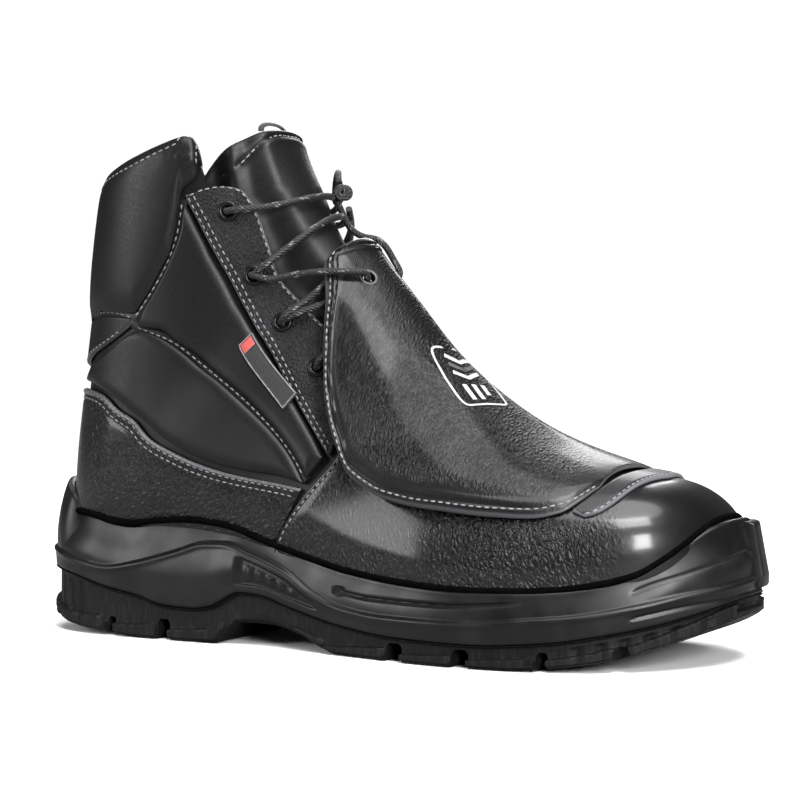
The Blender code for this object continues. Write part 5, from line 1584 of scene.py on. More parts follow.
@dataclass
class Collar:
    """The padded roll round the top edge, knitted on its inner side."""

    last: Last
    finishes: Finishes
    columns: int = 170
    ring: int = 72
    row_below: float = 0.0086
    row_inside: float = 0.0046

    def build(self, stitching: Stitching) -> bpy.types.Object:
        """Builds the roll and the row of stitches just under its top."""
        front = float(read(THROAT, 19.6))
        girth = -front - (2 - 2 * front) * crowded(self.columns, 0.35)
        near = np.minimum(np.abs(girth), 2 - np.abs(girth))
        seam = read(COLLAR_SEAM, near)
        corner = 1 - np.clip((near - 0.33) / 0.07, 0, 1)
        wall = 19.6 - 0.36 * corner**2 + 0.04
        top, lean = wall + 0.29, np.minimum(seam, 18.2)
        under, inside = BASE_LIFT + 3 * GAP, BASE_LIFT - WALL - 3 * GAP
        middle, deep = 0.5 * (COLLAR_OUT + COLLAR_IN), COLLAR_OUT - COLLAR_IN
        profile = [
            (seam, under), (seam - 0.04, under + 3 * GAP), (seam + 0.10, COLLAR_OUT - 3 * GAP),
            (seam + 0.35, COLLAR_OUT), (0.5 * (seam + 19.5), COLLAR_OUT + 0.05 * deep),
            (top - 0.45, COLLAR_OUT), (top - 0.06, middle + 0.30 * deep),
            (top, middle + 0.05 * deep), (top - 0.06, middle - 0.23 * deep),
            (top - 0.45, COLLAR_IN + GAP), (lean + 0.7, COLLAR_IN), (lean + 0.25, COLLAR_IN + 0.23 * deep),
            (lean, inside), (0.5 * (lean + wall), inside), (wall, inside), (wall, under),
            (wall + 0.33 * (seam - wall), under), (wall + 0.67 * (seam - wall), under),
        ]
        lines = np.array([self.last.at(station, girth, lift + 0 * station) for station, lift in profile])
        lines = lines.transpose(1, 0, 2)
        crest = lines[:, 7]
        rings = closed_curve(lines, self.ring)
        rings = self._close_ends(self._groove(rings, crest))
        outward = rings - rings.mean(axis=1, keepdims=True)
        outward /= np.maximum(np.linalg.norm(outward, axis=2, keepdims=True), 1e-9)
        place = int(np.argmin(np.abs(self._below(rings, crest)[len(rings) // 2] - self.row_below)))
        trail = Trail(rings[3:-3, place], outward[3:-3, place])
        stitching.sew(trail)
        for ends, ways in ((rings, outward), (rings[::-1], outward[::-1])):
            column = int(np.searchsorted(lengths(ends[:, place]), self.row_inside))
            stitching.sew(Trail(ends[column, 6:place], ways[column, 6:place]))
        inner = (np.arange(self.ring) > 0.44 * self.ring) & (np.arange(self.ring) < 0.80 * self.ring)
        mesher = Mesher("collar_roll")
        mesher.tube(Patch(rings), slot=inner.astype(int))
        piece = mesher.make([self.finishes.padded, self.finishes.lining])
        return settle(piece, "smooth_leather", "collar_pad")

    def _below(self, rings: np.ndarray, crest: np.ndarray) -> np.ndarray:
        """Metres down the outer side from the crest, at every point of the rings."""
        run = lengths(np.concatenate([rings, rings[:, :1]], axis=1), axis=1)[:, :-1]
        nearest = np.argmin(np.linalg.norm(rings - crest[:, None], axis=2), axis=1)
        return run[np.arange(len(rings)), nearest][:, None] - run

    def _groove(self, rings: np.ndarray, crest: np.ndarray) -> np.ndarray:
        """Sinks the rings slightly along the row of stitches."""
        depth = 0.0006 * np.exp(-(((self._below(rings, crest) - self.row_below) / 0.0011) ** 2))
        inward = rings.mean(axis=1, keepdims=True) - rings
        inward /= np.maximum(np.linalg.norm(inward, axis=2, keepdims=True), 1e-9)
        return rings + depth[..., None] * inward

    @staticmethod
    def _close_ends(rings: np.ndarray) -> np.ndarray:
        """Rounds off both ends of the roll."""
        share = np.minimum(np.arange(len(rings)), np.arange(len(rings))[::-1]) / 5
        size = np.sqrt(np.clip(1 - (1 - np.clip(share, 0, 1)) ** 2, 0.04, 1))
        middle = rings.mean(axis=1, keepdims=True)
        return middle + (rings - middle) * size[:, None, None]


def to_polyline(points: np.ndarray, line: np.ndarray) -> np.ndarray:
    """Metres from every point to a line of points."""
    best = np.full(points.shape[:-1], 1.0)
    for a, b in zip(line[:-1], line[1:]):
        way = b - a
        t = np.clip(((points - a) @ way) / float(way @ way), 0, 1)
        best = np.minimum(best, np.linalg.norm(points - (a + t[..., None] * way), axis=-1))
    return best


@dataclass
class Tongue:
    """The padded tongue with its sewn V, rolled top lip and ribbon loop."""

    last: Last
    finishes: Finishes
    vee: tuple[tuple[float, float], ...] = (
        (18.42, -0.270), (18.50, -0.205), (18.85, -0.145), (19.10, -0.09), (19.16, 0.0),
        (19.10, 0.09), (18.85, 0.145), (18.50, 0.205), (18.42, 0.270),
    )
    lip: float = 0.0016

    def lift(self, station: np.ndarray, girth: np.ndarray) -> np.ndarray:
        """How far the outer skin stands off: low under the facings, proud in the throat."""
        throat = np.minimum(read(THROAT, station), 0.20)
        rise = np.clip((throat - 0.012 - np.abs(girth)) / 0.085, 0, 1)
        end = np.clip((station - 11.6) / 1.2, 0, 1)
        tuck = step_up(np.abs(girth), 0.225, 0.300) * np.clip((station - 16.9) / 0.8, 0, 1)
        under = TONGUE_UNDER - TONGUE_TUCK * tuck
        return under + (0.5 * GAP - TONGUE_UNDER) * rise * rise * (3 - 2 * rise) * end

    def build(self, stitching: Stitching) -> list[bpy.types.Object]:
        """Builds the tongue, the V of stitches and the loop at its top."""
        stations = 10.95 + (19.5 - 10.95) * (1 - (1 - np.linspace(0, 1, 120)) ** 1.25)
        across = np.linspace(-1, 1, 71)
        reach = read_smooth(TONGUE, 1, stations)
        girth = reach[:, None] * across[None]
        station = np.repeat(stations[:, None], len(across), axis=1)
        station = station - 0.55 * np.abs(girth / 0.29) ** 2.5 * np.clip((station - 17.5) / 2, 0, 1)
        lift = self.lift(station, girth)
        bare = self.last.at(station, girth, lift)
        line = self.last.at(*np.array(self.vee).T, self.lift(*np.array(self.vee).T))
        fine = smooth_path(line, 60)
        apart = to_polyline(bare, fine)
        end = edge_distance(bare, (Edge.END,))
        side = edge_distance(bare, (Edge.NEAR, Edge.FAR))
        lift = lift - 0.0011 * np.exp(-((apart / 0.0013) ** 2))
        lift = lift + 0.0005 * np.exp(-(((end - 0.004) / 0.003) ** 2))
        lift = lift - 0.0022 * (1 - rounded(end, 0.0026)) - 0.0012 * (1 - rounded(side, 0.0022))
        thick = TONGUE_THICK * (1 - 0.45 * np.abs(across[None]) ** 4)
        inner = lift - thick + 0.0044 * (1 - rounded(end, 0.0026)) + 0.0010 * (1 - rounded(side, 0.0022))
        mesher = Mesher("tongue_padded")
        outer = Patch(self.last.at(station, girth, lift))
        mesher.shell(outer, Patch(self.last.at(station, girth, inner)), slots=(0, 1))
        piece = mesher.make([self.finishes.padded, self.finishes.lining])
        settle(piece, "smooth_leather", "tongue")
        sewn = self.last.at(*np.array(self.vee).T, self.lift(*np.array(self.vee).T) - 0.0009)
        normals = self.last.normal(*np.array(self.vee).T)
        trail = Trail(smooth_path(sewn, 120), smooth_path(normals, 120))
        stitching.sew(trail, sink=-0.0002)
        return [piece, self._loop()]

    def _loop(self) -> bpy.types.Object:
        """A narrow ribbon that arches up from the middle of the top edge."""
        low, high = (np.array(corner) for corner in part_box("tongue_pull"))
        middle, half = 0.5 * (low + high), 0.5 * (high[1] - low[1]) - 0.0012
        turns = np.linspace(0, np.pi, 41)
        rise = 0.72 * (high[2] - low[2])
        x, y = middle[0] - 0.0006 * np.sin(turns), half * np.cos(turns)
        path = np.stack([x, y, low[2] + 0.0006 + rise * np.sin(turns) ** 0.8], 1)
        mesher = Mesher("tongue_ribbon")
        mesher.tube(pipe(path, 0.0012, 10, 0.55))
        return settle(mesher.make([self.finishes.ribbon]), "smooth_leather", "tongue_pull")


@dataclass
class PlainMark:
    """A generic printed mark on the guard: a rounded frame, chevrons and bars, with no lettering."""

    corners: tuple[tuple[float, float], ...] = (
        (10.28, -0.054), (8.72, -0.133), (8.16, -0.018), (9.72, 0.061),
    )
    ink: float = 0.00012

    def place(self, p: np.ndarray, q: np.ndarray) -> tuple[np.ndarray, np.ndarray]:
        """Station and girth of a place on the mark, with p and q from 0 to 1."""
        a, b, c, d = (np.array(corner) for corner in self.corners)
        p, q = p[..., None], q[..., None]
        spot = (1 - p) * (1 - q) * a + p * (1 - q) * b + p * q * c + (1 - p) * q * d
        return spot[..., 0], spot[..., 1]

    def strokes(self) -> list[tuple[np.ndarray, float, int]]:
        """Lines of the mark as (points, width as a share, material slot)."""
        turns = np.linspace(0, 2 * np.pi, 97)
        power = 0.22
        frame_line = np.stack([
            0.5 + 0.47 * np.sign(np.cos(turns)) * np.abs(np.cos(turns)) ** power,
            0.5 + 0.45 * np.sign(np.sin(turns)) * np.abs(np.sin(turns)) ** power,
        ], 1)
        lines = [(frame_line, 0.028, 0)]
        for k in range(3):
            left = 0.15 + 0.13 * k
            bend = np.array([(left, 0.26), (left + 0.10, 0.5), (left, 0.74)])
            lines.append((self._subdivide(bend), 0.055, 0 if k != 1 else 1))
        for k, (start, end) in enumerate(((0.62, 0.88), (0.62, 0.88), (0.62, 0.80))):
            level = 0.32 + 0.18 * k
            lines.append((self._subdivide(np.array([(start, level), (end, level)])), 0.06, 0))
        return lines

    @staticmethod
    def _subdivide(corners: np.ndarray) -> np.ndarray:
        """Adds points along straight lines, which then follow the guard's curve."""
        parts = [a + (b - a) * np.linspace(0, 1, 9)[:-1, None] for a, b in zip(corners[:-1], corners[1:])]
        return np.concatenate([*parts, corners[-1:]])

    def build(self, last: Last, finishes: Finishes, surface: Callable) -> bpy.types.Object:
        """Builds the mark as a thin raised layer of ink.

        Args:
            last: The last.
            finishes: The finishes.
            surface: Gives the guard's lift at stations and girths.

        Returns:
            The piece.
        """
        mesher = Mesher("guard_mark")
        for line, width, slot in self.strokes():
            ahead = np.gradient(line, axis=0)
            if np.allclose(line[0], line[-1]):
                ahead[0] = ahead[-1] = line[1] - line[-2]
            ahead /= np.linalg.norm(ahead, axis=1, keepdims=True)
            side = np.stack([-ahead[:, 1], 1.4 * ahead[:, 0]], 1)
            share = np.linspace(-0.5, 0.5, 4)
            spots = line[:, None] + width * share[None, :, None] * side[:, None]
            station, girth = self.place(spots[..., 0], spots[..., 1])
            lift = surface(station, girth)
            outer = last.at(station, girth, lift + self.ink)
            inner = last.at(station, girth, lift - 2 * self.ink)
            mesher.shell(Patch(outer), Patch(inner), slots=(slot, slot))
        piece = mesher.make([finishes.ink, finishes.dark_thread])
        return settle(piece, "full_grain_leather")


@dataclass
class Guard:
    """The padded metatarsal shield and the strip that sews its front edge to the toe cap."""

    last: Last
    finishes: Finishes
    rim: float = 0.0014
    least: float = 0.0014
    drop: float = 0.0014
    ridges: tuple[float, ...] = (0.0024, 0.0048, 0.0060)
    row_inset: float = 0.0036

    def skins(self, station: np.ndarray, girth: np.ndarray) -> tuple[np.ndarray, np.ndarray]:
        """Lifts of the inner and the outer skin, before edges and ridges."""
        edge = np.clip((1 - np.abs(girth) / read_smooth(GUARD, 1, station)) / 0.2, 0, 1)
        low, high = (read_smooth(GUARD, column, station) for column in (2, 3))
        fall = self.drop * (1 - edge) * step_up(station, 9.4, 8.6)
        inner = np.maximum(low - fall, VAMP_LIFT + GAP)
        outer = np.maximum(high - 0.0010 * (1 - edge) ** 2 - fall, inner + self.least)
        return inner, outer

    def surface(self, station: np.ndarray, girth: np.ndarray) -> np.ndarray:
        """Lift of the outer skin where it is plain."""
        return self.skins(station, girth)[1]

    def build(self, stitching: Stitching) -> list[bpy.types.Object]:
        """Builds the shield with its ridges, rim, lace holes and stitches, its mark and its strip."""
        t = np.linspace(0, 1, 150)
        t = 0.6 * t + 0.4 * (0.5 - 0.5 * np.cos(np.pi * t))
        stations = 5.36 + (13.45 - 5.36) * t
        across = 2 * crowded(111, 0.55) - 1
        station = np.repeat(stations[:, None], len(across), axis=1)
        girth = read_smooth(GUARD, 1, stations)[:, None] * across[None]
        inner, outer = self.skins(station, girth)
        plain = self.last.at(station, girth, outer)
        distance = edge_distance(plain)
        side = edge_distance(plain, (Edge.NEAR, Edge.FAR, Edge.END))
        fade = step_up(station, 5.8, 6.8)
        relief = -0.45 * (outer - inner) * (1 - rounded(distance, self.rim))
        for k, inset in enumerate(self.ridges):
            height = 0.00042 if k else 0.00025
            relief = relief + height * fade * np.exp(-(((side - inset) / 0.00055) ** 2))
        relief = relief - 0.00035 * fade * np.exp(-(((side - self.row_inset) / 0.0006) ** 2))
        lift = outer + relief
        under = inner + 0.35 * (outer - inner) * (1 - rounded(distance, self.rim))
        layer = Layer(self.last, station, girth, lift)
        grain = step_up(side, 0.007, 0.012) * (1 - 0.55 * step_up(np.abs(girth), 0.16, 0.02))
        grain = np.maximum(grain * step_up(station, 5.4, 6.4), 0.15)
        # Lighter edge band: partly the cut edge's own colour, partly a painted highlight along it.
        rim = step_up(distance, 0.0013, 0.0004)
        mesher = Mesher("guard_leather")
        flow = np.stack([lengths(layer.points, 1) * -1 + 0.5, lengths(layer.points, 0)], -1)
        mesher.shell(Patch(layer.points, grain=grain, rim=0.7 * rim, flow=flow),
                     Patch(self.last.at(station, girth, under)), slots=(0, 0))
        piece = mesher.make([self.finishes.guard])
        drill = rounded_drill(self.last, [GUARD_HOLE], GUARD_BORE, (0.003, 0.016))
        cut(piece, drill)
        discard(drill)
        settle(piece, "full_grain_leather", "metatarsal_guard")
        for edge in (Edge.NEAR, Edge.FAR):
            stitching.sew(layer.inset(edge, self.row_inset, 0.004), sink=0.0)
        mark = PlainMark().build(self.last, self.finishes, self.surface)
        return [piece, mark, self._strip(stitching), *self._grommets()]

    def _strip(self, stitching: Stitching) -> bpy.types.Object:
        """The narrow strip over the front edge."""
        mirrored = [Run(r.station_a, -r.girth_a, r.station_b, -r.girth_b) for r in STRIP[::-1]]
        layer = side_layer(self.last, [*mirrored, *STRIP], 1, 170, 26)
        distance = edge_distance(layer.points)
        low, high = VAMP_LIFT + 0.5 * GAP, VAMP_LIFT + 4.5 * GAP
        layer.lift = low + (high - low) * (0.25 + 0.75 * rounded(distance, 0.0010))
        front = edge_distance(layer.points, (Edge.NEAR,))
        layer.lift = layer.lift - 0.0002 * np.exp(-(((front - 0.0020) / 0.0007) ** 2))
        mesher = Mesher("guard_strip_leather")
        # Lighter edge band: partly the cut edge's own colour, partly a painted highlight along it.
        rim = 0.9 * step_up(distance, 0.0009, 0.0003)
        under = Patch(self.last.at(layer.station, layer.girth, low))
        mesher.shell(Patch(layer.points, grain=0.12, rim=rim), under)
        stitching.sew(layer.inset(Edge.NEAR, 0.0020, 0.002))
        return settle(mesher.make([self.finishes.eyestay]), "full_grain_leather", "guard_strip")

    def _grommets(self) -> list[bpy.types.Object]:
        """The thin sewn rims of the two lace holes."""
        pieces = []
        turns = 2 * np.pi * np.arange(28) / 28
        arc = 2 * np.pi * np.arange(8) / 8
        for side in Side:
            lift = float(self.surface(np.array(GUARD_HOLE.station), np.array(GUARD_HOLE.girth)))
            centre, along, across, normal = hole_frame(self.last, GUARD_HOLE, side.value, lift - 0.0001)
            out = np.cos(turns)[:, None] * along + np.sin(turns)[:, None] * across
            radii = GUARD_BORE + 0.0003 + 0.0006 * np.cos(arc)
            rise = (0.0004 * np.sin(arc))[None, :, None] * normal
            rings = centre + out[:, None] * radii[None, :, None] + rise
            mesher = Mesher(f"guard_hole_rim_{side.name.lower()}")
            mesher.tube(Patch(rings), ring=True)
            pieces.append(settle(mesher.make([self.finishes.dark_thread]), "full_grain_leather"))
        return pieces


@dataclass
class SideTag:
    """A folded woven ribbon under the facing's edge, black with a plain red end."""

    last: Last
    finishes: Finishes
    border: float = 0.0007

    def build(self) -> bpy.types.Object:
        """Builds the tag with its woven border and its red square."""
        layer = side_layer(self.last, TAG, -1, 60, 24)
        distance = edge_distance(layer.points)
        low, high = PAD_LIFT + GAP, PAD_LIFT + 4 * GAP
        layer.lift = low + (high - low) * (0.4 + 0.6 * rounded(distance, 0.0006))
        layer.lift = layer.lift - 0.00018 * np.exp(-(((distance - 0.0013) / 0.0004) ** 2))
        mesher = Mesher("side_ribbon")
        mesher.shell(Patch(layer.points), Patch(self.last.at(layer.station, layer.girth, low)))
        rows, columns = slice(43, 55), slice(5, 19)
        station, girth, lift = (grid[rows, columns] for grid in (layer.station, layer.girth, layer.lift))
        raised = Patch(self.last.at(station, girth, lift + 0.00025))
        mesher.shell(raised, Patch(self.last.at(station, girth, low)), slots=(1, 1))
        for edge in Edge:
            trail = layer.inset(edge, self.border, self.border)
            mesher.tube(pipe(trail.points[::8], 0.00026, 6), slot=2)
        finishes = self.finishes
        return settle(mesher.make([finishes.ribbon, finishes.red, finishes.thread]), "woven_tag", "side_tag")


@dataclass
class Insole:
    """The foam insole, covered in the lining's knit."""

    last: Last
    finishes: Finishes
    lift: float = 0.0008
    thick: float = 0.0080

    def build(self) -> bpy.types.Object:
        """Builds the insole."""
        stations = np.linspace(1.9, 13.0, 80)
        outer, inner = [], []
        for station in stations:
            feather = self.last.feather(min(station, OPEN_FLOOR[1])) + 0.035
            girth = np.linspace(feather, 2 - feather, 31)
            place = np.full(31, station)
            outer.append(self.last.at(place, girth, self.lift))
            inner.append(self.last.at(place, girth, self.lift - self.thick))
        mesher = Mesher("insole_board")
        mesher.shell(Patch(np.array(outer)), Patch(np.array(inner)))
        return settle(mesher.make([self.finishes.lining]), "lining", "insole")


class Strand(NamedTuple):
    """A lace between two eyelets. Its stations dip on the way, which keeps it level."""

    eyelet: int
    side: int
    to_eyelet: int
    to_side: int
    dip: float


class Turn(NamedTuple):
    """A place that a lace runs through."""

    station: float
    girth: float
    lift: float


LACING = (
    Strand(0, -1, 0, 1, 0.95), Strand(1, -1, 0, 1, 0.75), Strand(2, -1, 2, 1, 1.05), Strand(3, -1, 3, 1, 0.50),
    Strand(2, -1, 1, 1, 1.0), Strand(3, -1, 2, 1, 0.8),
)
HOLE_STRANDS = (
    (Turn(14.98, -0.214, 0.0010), Turn(14.98, -0.214, 0.0032), Turn(14.85, -0.206, 0.0044),
     Turn(14.5, -0.188, 0.0046), Turn(13.9, -0.152, 0.0064), Turn(13.2, -0.116, 0.0114),
     Turn(12.75, -0.092, 0.0142), Turn(12.35, -0.068, 0.0144), Turn(12.1, -0.050, 0.0134),
     Turn(12.0, -0.044, 0.0092)),
    (Turn(16.31, 0.030, 0.0044), Turn(15.7, 0.033, 0.0044), Turn(14.7, 0.035, 0.0050),
     Turn(14.0, 0.036, 0.0085), Turn(13.62, 0.036, 0.0124), Turn(13.2, 0.037, 0.0140),
     Turn(12.5, 0.041, 0.0142), Turn(12.12, 0.043, 0.0132), Turn(12.0, 0.044, 0.0092)),
)
KNOT = (Turn(16.22, 0.000, 0.0088), Turn(16.32, 0.026, 0.0092), Turn(16.42, 0.050, 0.0086))
LOOPS = {
    "lace_loop_upper": (
        Turn(16.80, 0.045, 0.0080), Turn(17.10, 0.060, 0.0082), Turn(17.55, 0.100, 0.0090),
        Turn(17.60, 0.160, 0.0088), Turn(17.20, 0.175, 0.0080), Turn(16.80, 0.105, 0.0078),
    ),
    "lace_loop_lower": (
        Turn(16.10, 0.075, 0.0075), Turn(15.85, 0.130, 0.0092), Turn(15.60, 0.200, 0.0092),
        Turn(15.25, 0.215, 0.0085), Turn(15.25, 0.160, 0.0080), Turn(15.75, 0.090, 0.0072),
    ),
}


@dataclass
class Laces:
    """The braided laces: strands through the eyelets, the knot and its two loops."""

    last: Last
    finishes: Finishes
    below: float = -0.0045

    def strand(self, strand: Strand) -> np.ndarray:
        """Line of one lace over the tongue, down into its eyelets at both ends."""
        first, last_hole = EYELETS[strand.eyelet], EYELETS[strand.to_eyelet]
        joined = strand.eyelet != strand.to_eyelet
        trim = 0.02 if joined else 0.045
        share = np.linspace(trim, 1 - trim, 9)
        rise = np.sin(np.pi * share)
        girth_a, girth_b = strand.side * first.girth, strand.to_side * last_hole.girth
        station = first.station + (last_hole.station - first.station) * share - strand.dip * rise
        girth = girth_a + (girth_b - girth_a) * share
        at_eyelet = 3 * LACE_RADIUS
        lift = at_eyelet + (LACE_LIFT + 0.5 * LACE_RADIUS - at_eyelet) * rise
        station = np.concatenate([[first.station] * 2, station, [last_hole.station] * 2])
        girth = np.concatenate([[girth_a] * 2, girth, [girth_b] * 2])
        ends = [self.below, 0.0022]
        lift = np.concatenate([ends, lift, ends[::-1]])
        return smooth_path(self.last.at(station, girth, lift), 70)

    def through_guard(self, turns: Sequence[Turn]) -> np.ndarray:
        """Line of a strand that runs over the guard's edge and down its hole."""
        table = np.array(turns, float)
        if turns[0].lift == LACE_LOW:
            table[0, 2] = self.below
        end = table[-1].copy()
        end[2] -= 0.0030
        table = np.vstack([table, end])
        return smooth_path(self.last.at(*table.T), 90)

    def build(self) -> list[bpy.types.Object]:
        """Builds the strands, the knot and the loops."""
        upper = [self.strand(s) for s in LACING[:2]] + [self.through_guard(t) for t in HOLE_STRANDS]
        lower = [self.strand(s) for s in LACING[2:]]
        pieces = []
        for name, lines in (("laces_upper", upper), ("laces_lower", lower)):
            mesher = Mesher(f"{name}_braid")
            for line in lines:
                mesher.tube(pipe(line, 1.02 * LACE_RADIUS, 14, 0.92))
            pieces.append(settle(mesher.make([self.finishes.cord]), "lace", name))
        knot = self._knot()
        for name, turns in LOOPS.items():
            line = smooth_path(self.last.at(*np.array(turns).T), 60)
            mesher = Mesher(f"{name}_braid")
            mesher.tube(pipe(line, 1.02 * LACE_RADIUS, 14, 0.92))
            piece = settle(mesher.make([self.finishes.cord]), "lace", name)
            pieces.append(piece)
        return [*pieces, knot]

    def _knot(self) -> bpy.types.Object:
        """The knot: three wraps of lace drawn tight over each other."""
        centre_line = smooth_path(self.last.at(*np.array(KNOT).T), 40)
        middle = centre_line.mean(axis=0)
        normal = self.last.normal(KNOT[1].station, KNOT[1].girth)
        along = centre_line[-1] - centre_line[0]
        along /= np.linalg.norm(along)
        other = np.cross(normal, along)
        mesher = Mesher("lace_knot_wraps")
        for shift, lean in ((-0.0022, 0.5), (0.0, -0.3), (0.0022, 0.5)):
            turn = np.linspace(0, 2 * np.pi, 40, endpoint=False)
            ring = middle + shift * along + 0.0019 * np.cos(turn)[:, None] * other
            rise = np.sin(turn)[:, None]
            ring = ring + 0.0017 * rise * normal + 0.0009 * lean * rise * along
            closed = np.concatenate([ring, ring[:1]])
            mesher.tube(Patch(pipe(closed, LACE_RADIUS, 12).points[:-1]), ring=True)
        return settle(mesher.make([self.finishes.cord]), "lace", "lace_knot")


class Level(NamedTuple):
    """A height above the floor as a share of the seat's, at a share of the sole's length."""

    along: float
    height: float


class Outline(NamedTuple):
    """The sole's plan at a share of its length, in shares of the ball's width."""

    along: float
    offset: float
    lateral: float
    medial: float


SOLE_PLAN = (
    Outline(0.00, 0.000, 0.000, 0.000), Outline(0.03, 0.000, 0.227, 0.227), Outline(0.08, 0.000, 0.324, 0.324),
    Outline(0.14, 0.000, 0.356, 0.356), Outline(0.25, 0.000, 0.366, 0.352), Outline(0.36, 0.000, 0.375, 0.329),
    Outline(0.46, 0.009, 0.407, 0.315), Outline(0.56, 0.019, 0.468, 0.361), Outline(0.65, 0.028, 0.519, 0.431),
    Outline(0.72, 0.037, 0.532, 0.463), Outline(0.80, 0.051, 0.509, 0.468), Outline(0.88, 0.065, 0.431, 0.426),
    Outline(0.94, 0.074, 0.319, 0.333), Outline(0.98, 0.079, 0.190, 0.204), Outline(1.00, 0.083, 0.000, 0.000),
)
RIM = (
    Level(0.0, 1.50), Level(0.06, 1.50), Level(0.11, 1.47), Level(0.14, 1.41), Level(0.17, 1.385),
    Level(0.22, 1.44), Level(0.27, 1.47), Level(0.327, 1.43), Level(0.39, 1.26), Level(0.453, 1.11),
    Level(0.517, 0.985), Level(0.613, 0.894), Level(0.70, 0.862), Level(0.773, 0.875), Level(0.82, 0.906),
    Level(0.863, 0.97), Level(0.90, 1.07), Level(0.933, 1.27), Level(0.953, 1.42), Level(0.97, 1.54),
    Level(0.99, 1.635), Level(1.0, 1.66),
)
WAIST = (
    Level(0.0, 1.06), Level(0.03, 1.04), Level(0.093, 0.93), Level(0.143, 0.87), Level(0.19, 0.94),
    Level(0.253, 1.10), Level(0.297, 1.22), Level(0.327, 1.23), Level(0.37, 1.13), Level(0.425, 0.95),
    Level(0.47, 0.72), Level(0.52, 0.57), Level(0.587, 0.515), Level(0.653, 0.515), Level(0.707, 0.525),
    Level(0.777, 0.59), Level(0.833, 0.64), Level(0.91, 0.78), Level(0.953, 0.885), Level(0.983, 0.94),
    Level(1.0, 1.00),
)
PARTING = (
    Level(0.0, 0.80), Level(0.03, 0.79), Level(0.08, 0.737), Level(0.14, 0.612), Level(0.197, 0.519),
    Level(0.237, 0.42), Level(0.28, 0.405), Level(0.31, 0.444), Level(0.335, 0.56), Level(0.355, 0.64),
    Level(0.383, 0.63), Level(0.437, 0.50), Level(0.513, 0.35), Level(0.60, 0.275), Level(0.70, 0.265),
    Level(0.80, 0.32), Level(0.87, 0.42), Level(0.91, 0.50), Level(0.953, 0.62), Level(0.983, 0.73),
    Level(1.0, 0.80),
)
GROUND = (
    Level(0.0, 0.34), Level(0.025, 0.20), Level(0.07, 0.10), Level(0.14, 0.04), Level(0.20, 0.0),
    Level(0.315, 0.0), Level(0.332, 0.12), Level(0.35, 0.27), Level(0.39, 0.26), Level(0.44, 0.18),
    Level(0.48, 0.06), Level(0.505, 0.0), Level(0.75, 0.0), Level(0.80, 0.03), Level(0.86, 0.10),
    Level(0.91, 0.22), Level(0.955, 0.38), Level(1.0, 0.58),
)
LEAN = (
    Level(0.0, 0.20), Level(0.10, 0.15), Level(0.35, 0.13), Level(0.50, 0.05), Level(0.80, 0.03),
    Level(0.90, 0.05), Level(1.0, 0.12),
)
# Lines cut into the side of the midsole.
UPPER_GROOVE = (
    Level(0.505, 0.755), Level(0.56, 0.70), Level(0.66, 0.69), Level(0.73, 0.725), Level(0.80, 0.80),
)
TOE_GROOVE = (
    Level(0.89, 0.60), Level(0.913, 0.656), Level(0.953, 0.745), Level(0.983, 0.79), Level(1.0, 0.85),
)
TOE_CREASE = (
    Level(0.88, 0.80), Level(0.91, 0.95), Level(0.953, 1.10), Level(0.983, 1.22), Level(1.0, 1.30),
)


class Groove(NamedTuple):
    """A tread channel: ends as shares of length and width, with its width and depth."""

    start_x: float
    start_y: float
    end_x: float
    end_y: float
    width: float
    depth: float


GROOVES = (
    Groove(-0.367, -0.556, -0.333, -0.157, 0.014, 0.234), Groove(-0.277, -0.556, -0.253, -0.157, 0.020, 0.250),
    Groove(-0.367, 0.556, -0.333, 0.157, 0.014, 0.234), Groove(-0.277, 0.556, -0.253, 0.157, 0.020, 0.250),
    Groove(-0.447, 0.000, -0.163, 0.000, 0.017, 0.188), Groove(-0.387, -0.148, -0.313, 0.148, 0.012, 0.188),
    Groove(-0.300, -0.148, -0.227, 0.148, 0.012, 0.188), Groove(0.083, -0.648, 0.120, -0.185, 0.025, 0.212),
    Groove(0.183, -0.648, 0.213, -0.185, 0.023, 0.206), Groove(0.288, -0.648, 0.307, -0.185, 0.014, 0.219),
    Groove(0.387, -0.556, 0.383, -0.148, 0.019, 0.297), Groove(0.060, 0.648, 0.107, 0.241, 0.023, 0.212),
    Groove(0.167, 0.648, 0.207, 0.259, 0.023, 0.206), Groove(0.277, 0.648, 0.303, 0.259, 0.017, 0.219),
    Groove(0.387, 0.611, 0.383, 0.241, 0.019, 0.297), Groove(0.020, 0.037, 0.440, 0.046, 0.017, 0.188),
    Groove(0.053, -0.167, 0.133, 0.222, 0.013, 0.188), Groove(0.153, -0.176, 0.233, 0.250, 0.013, 0.188),
    Groove(0.257, -0.176, 0.330, 0.250, 0.013, 0.188),
)


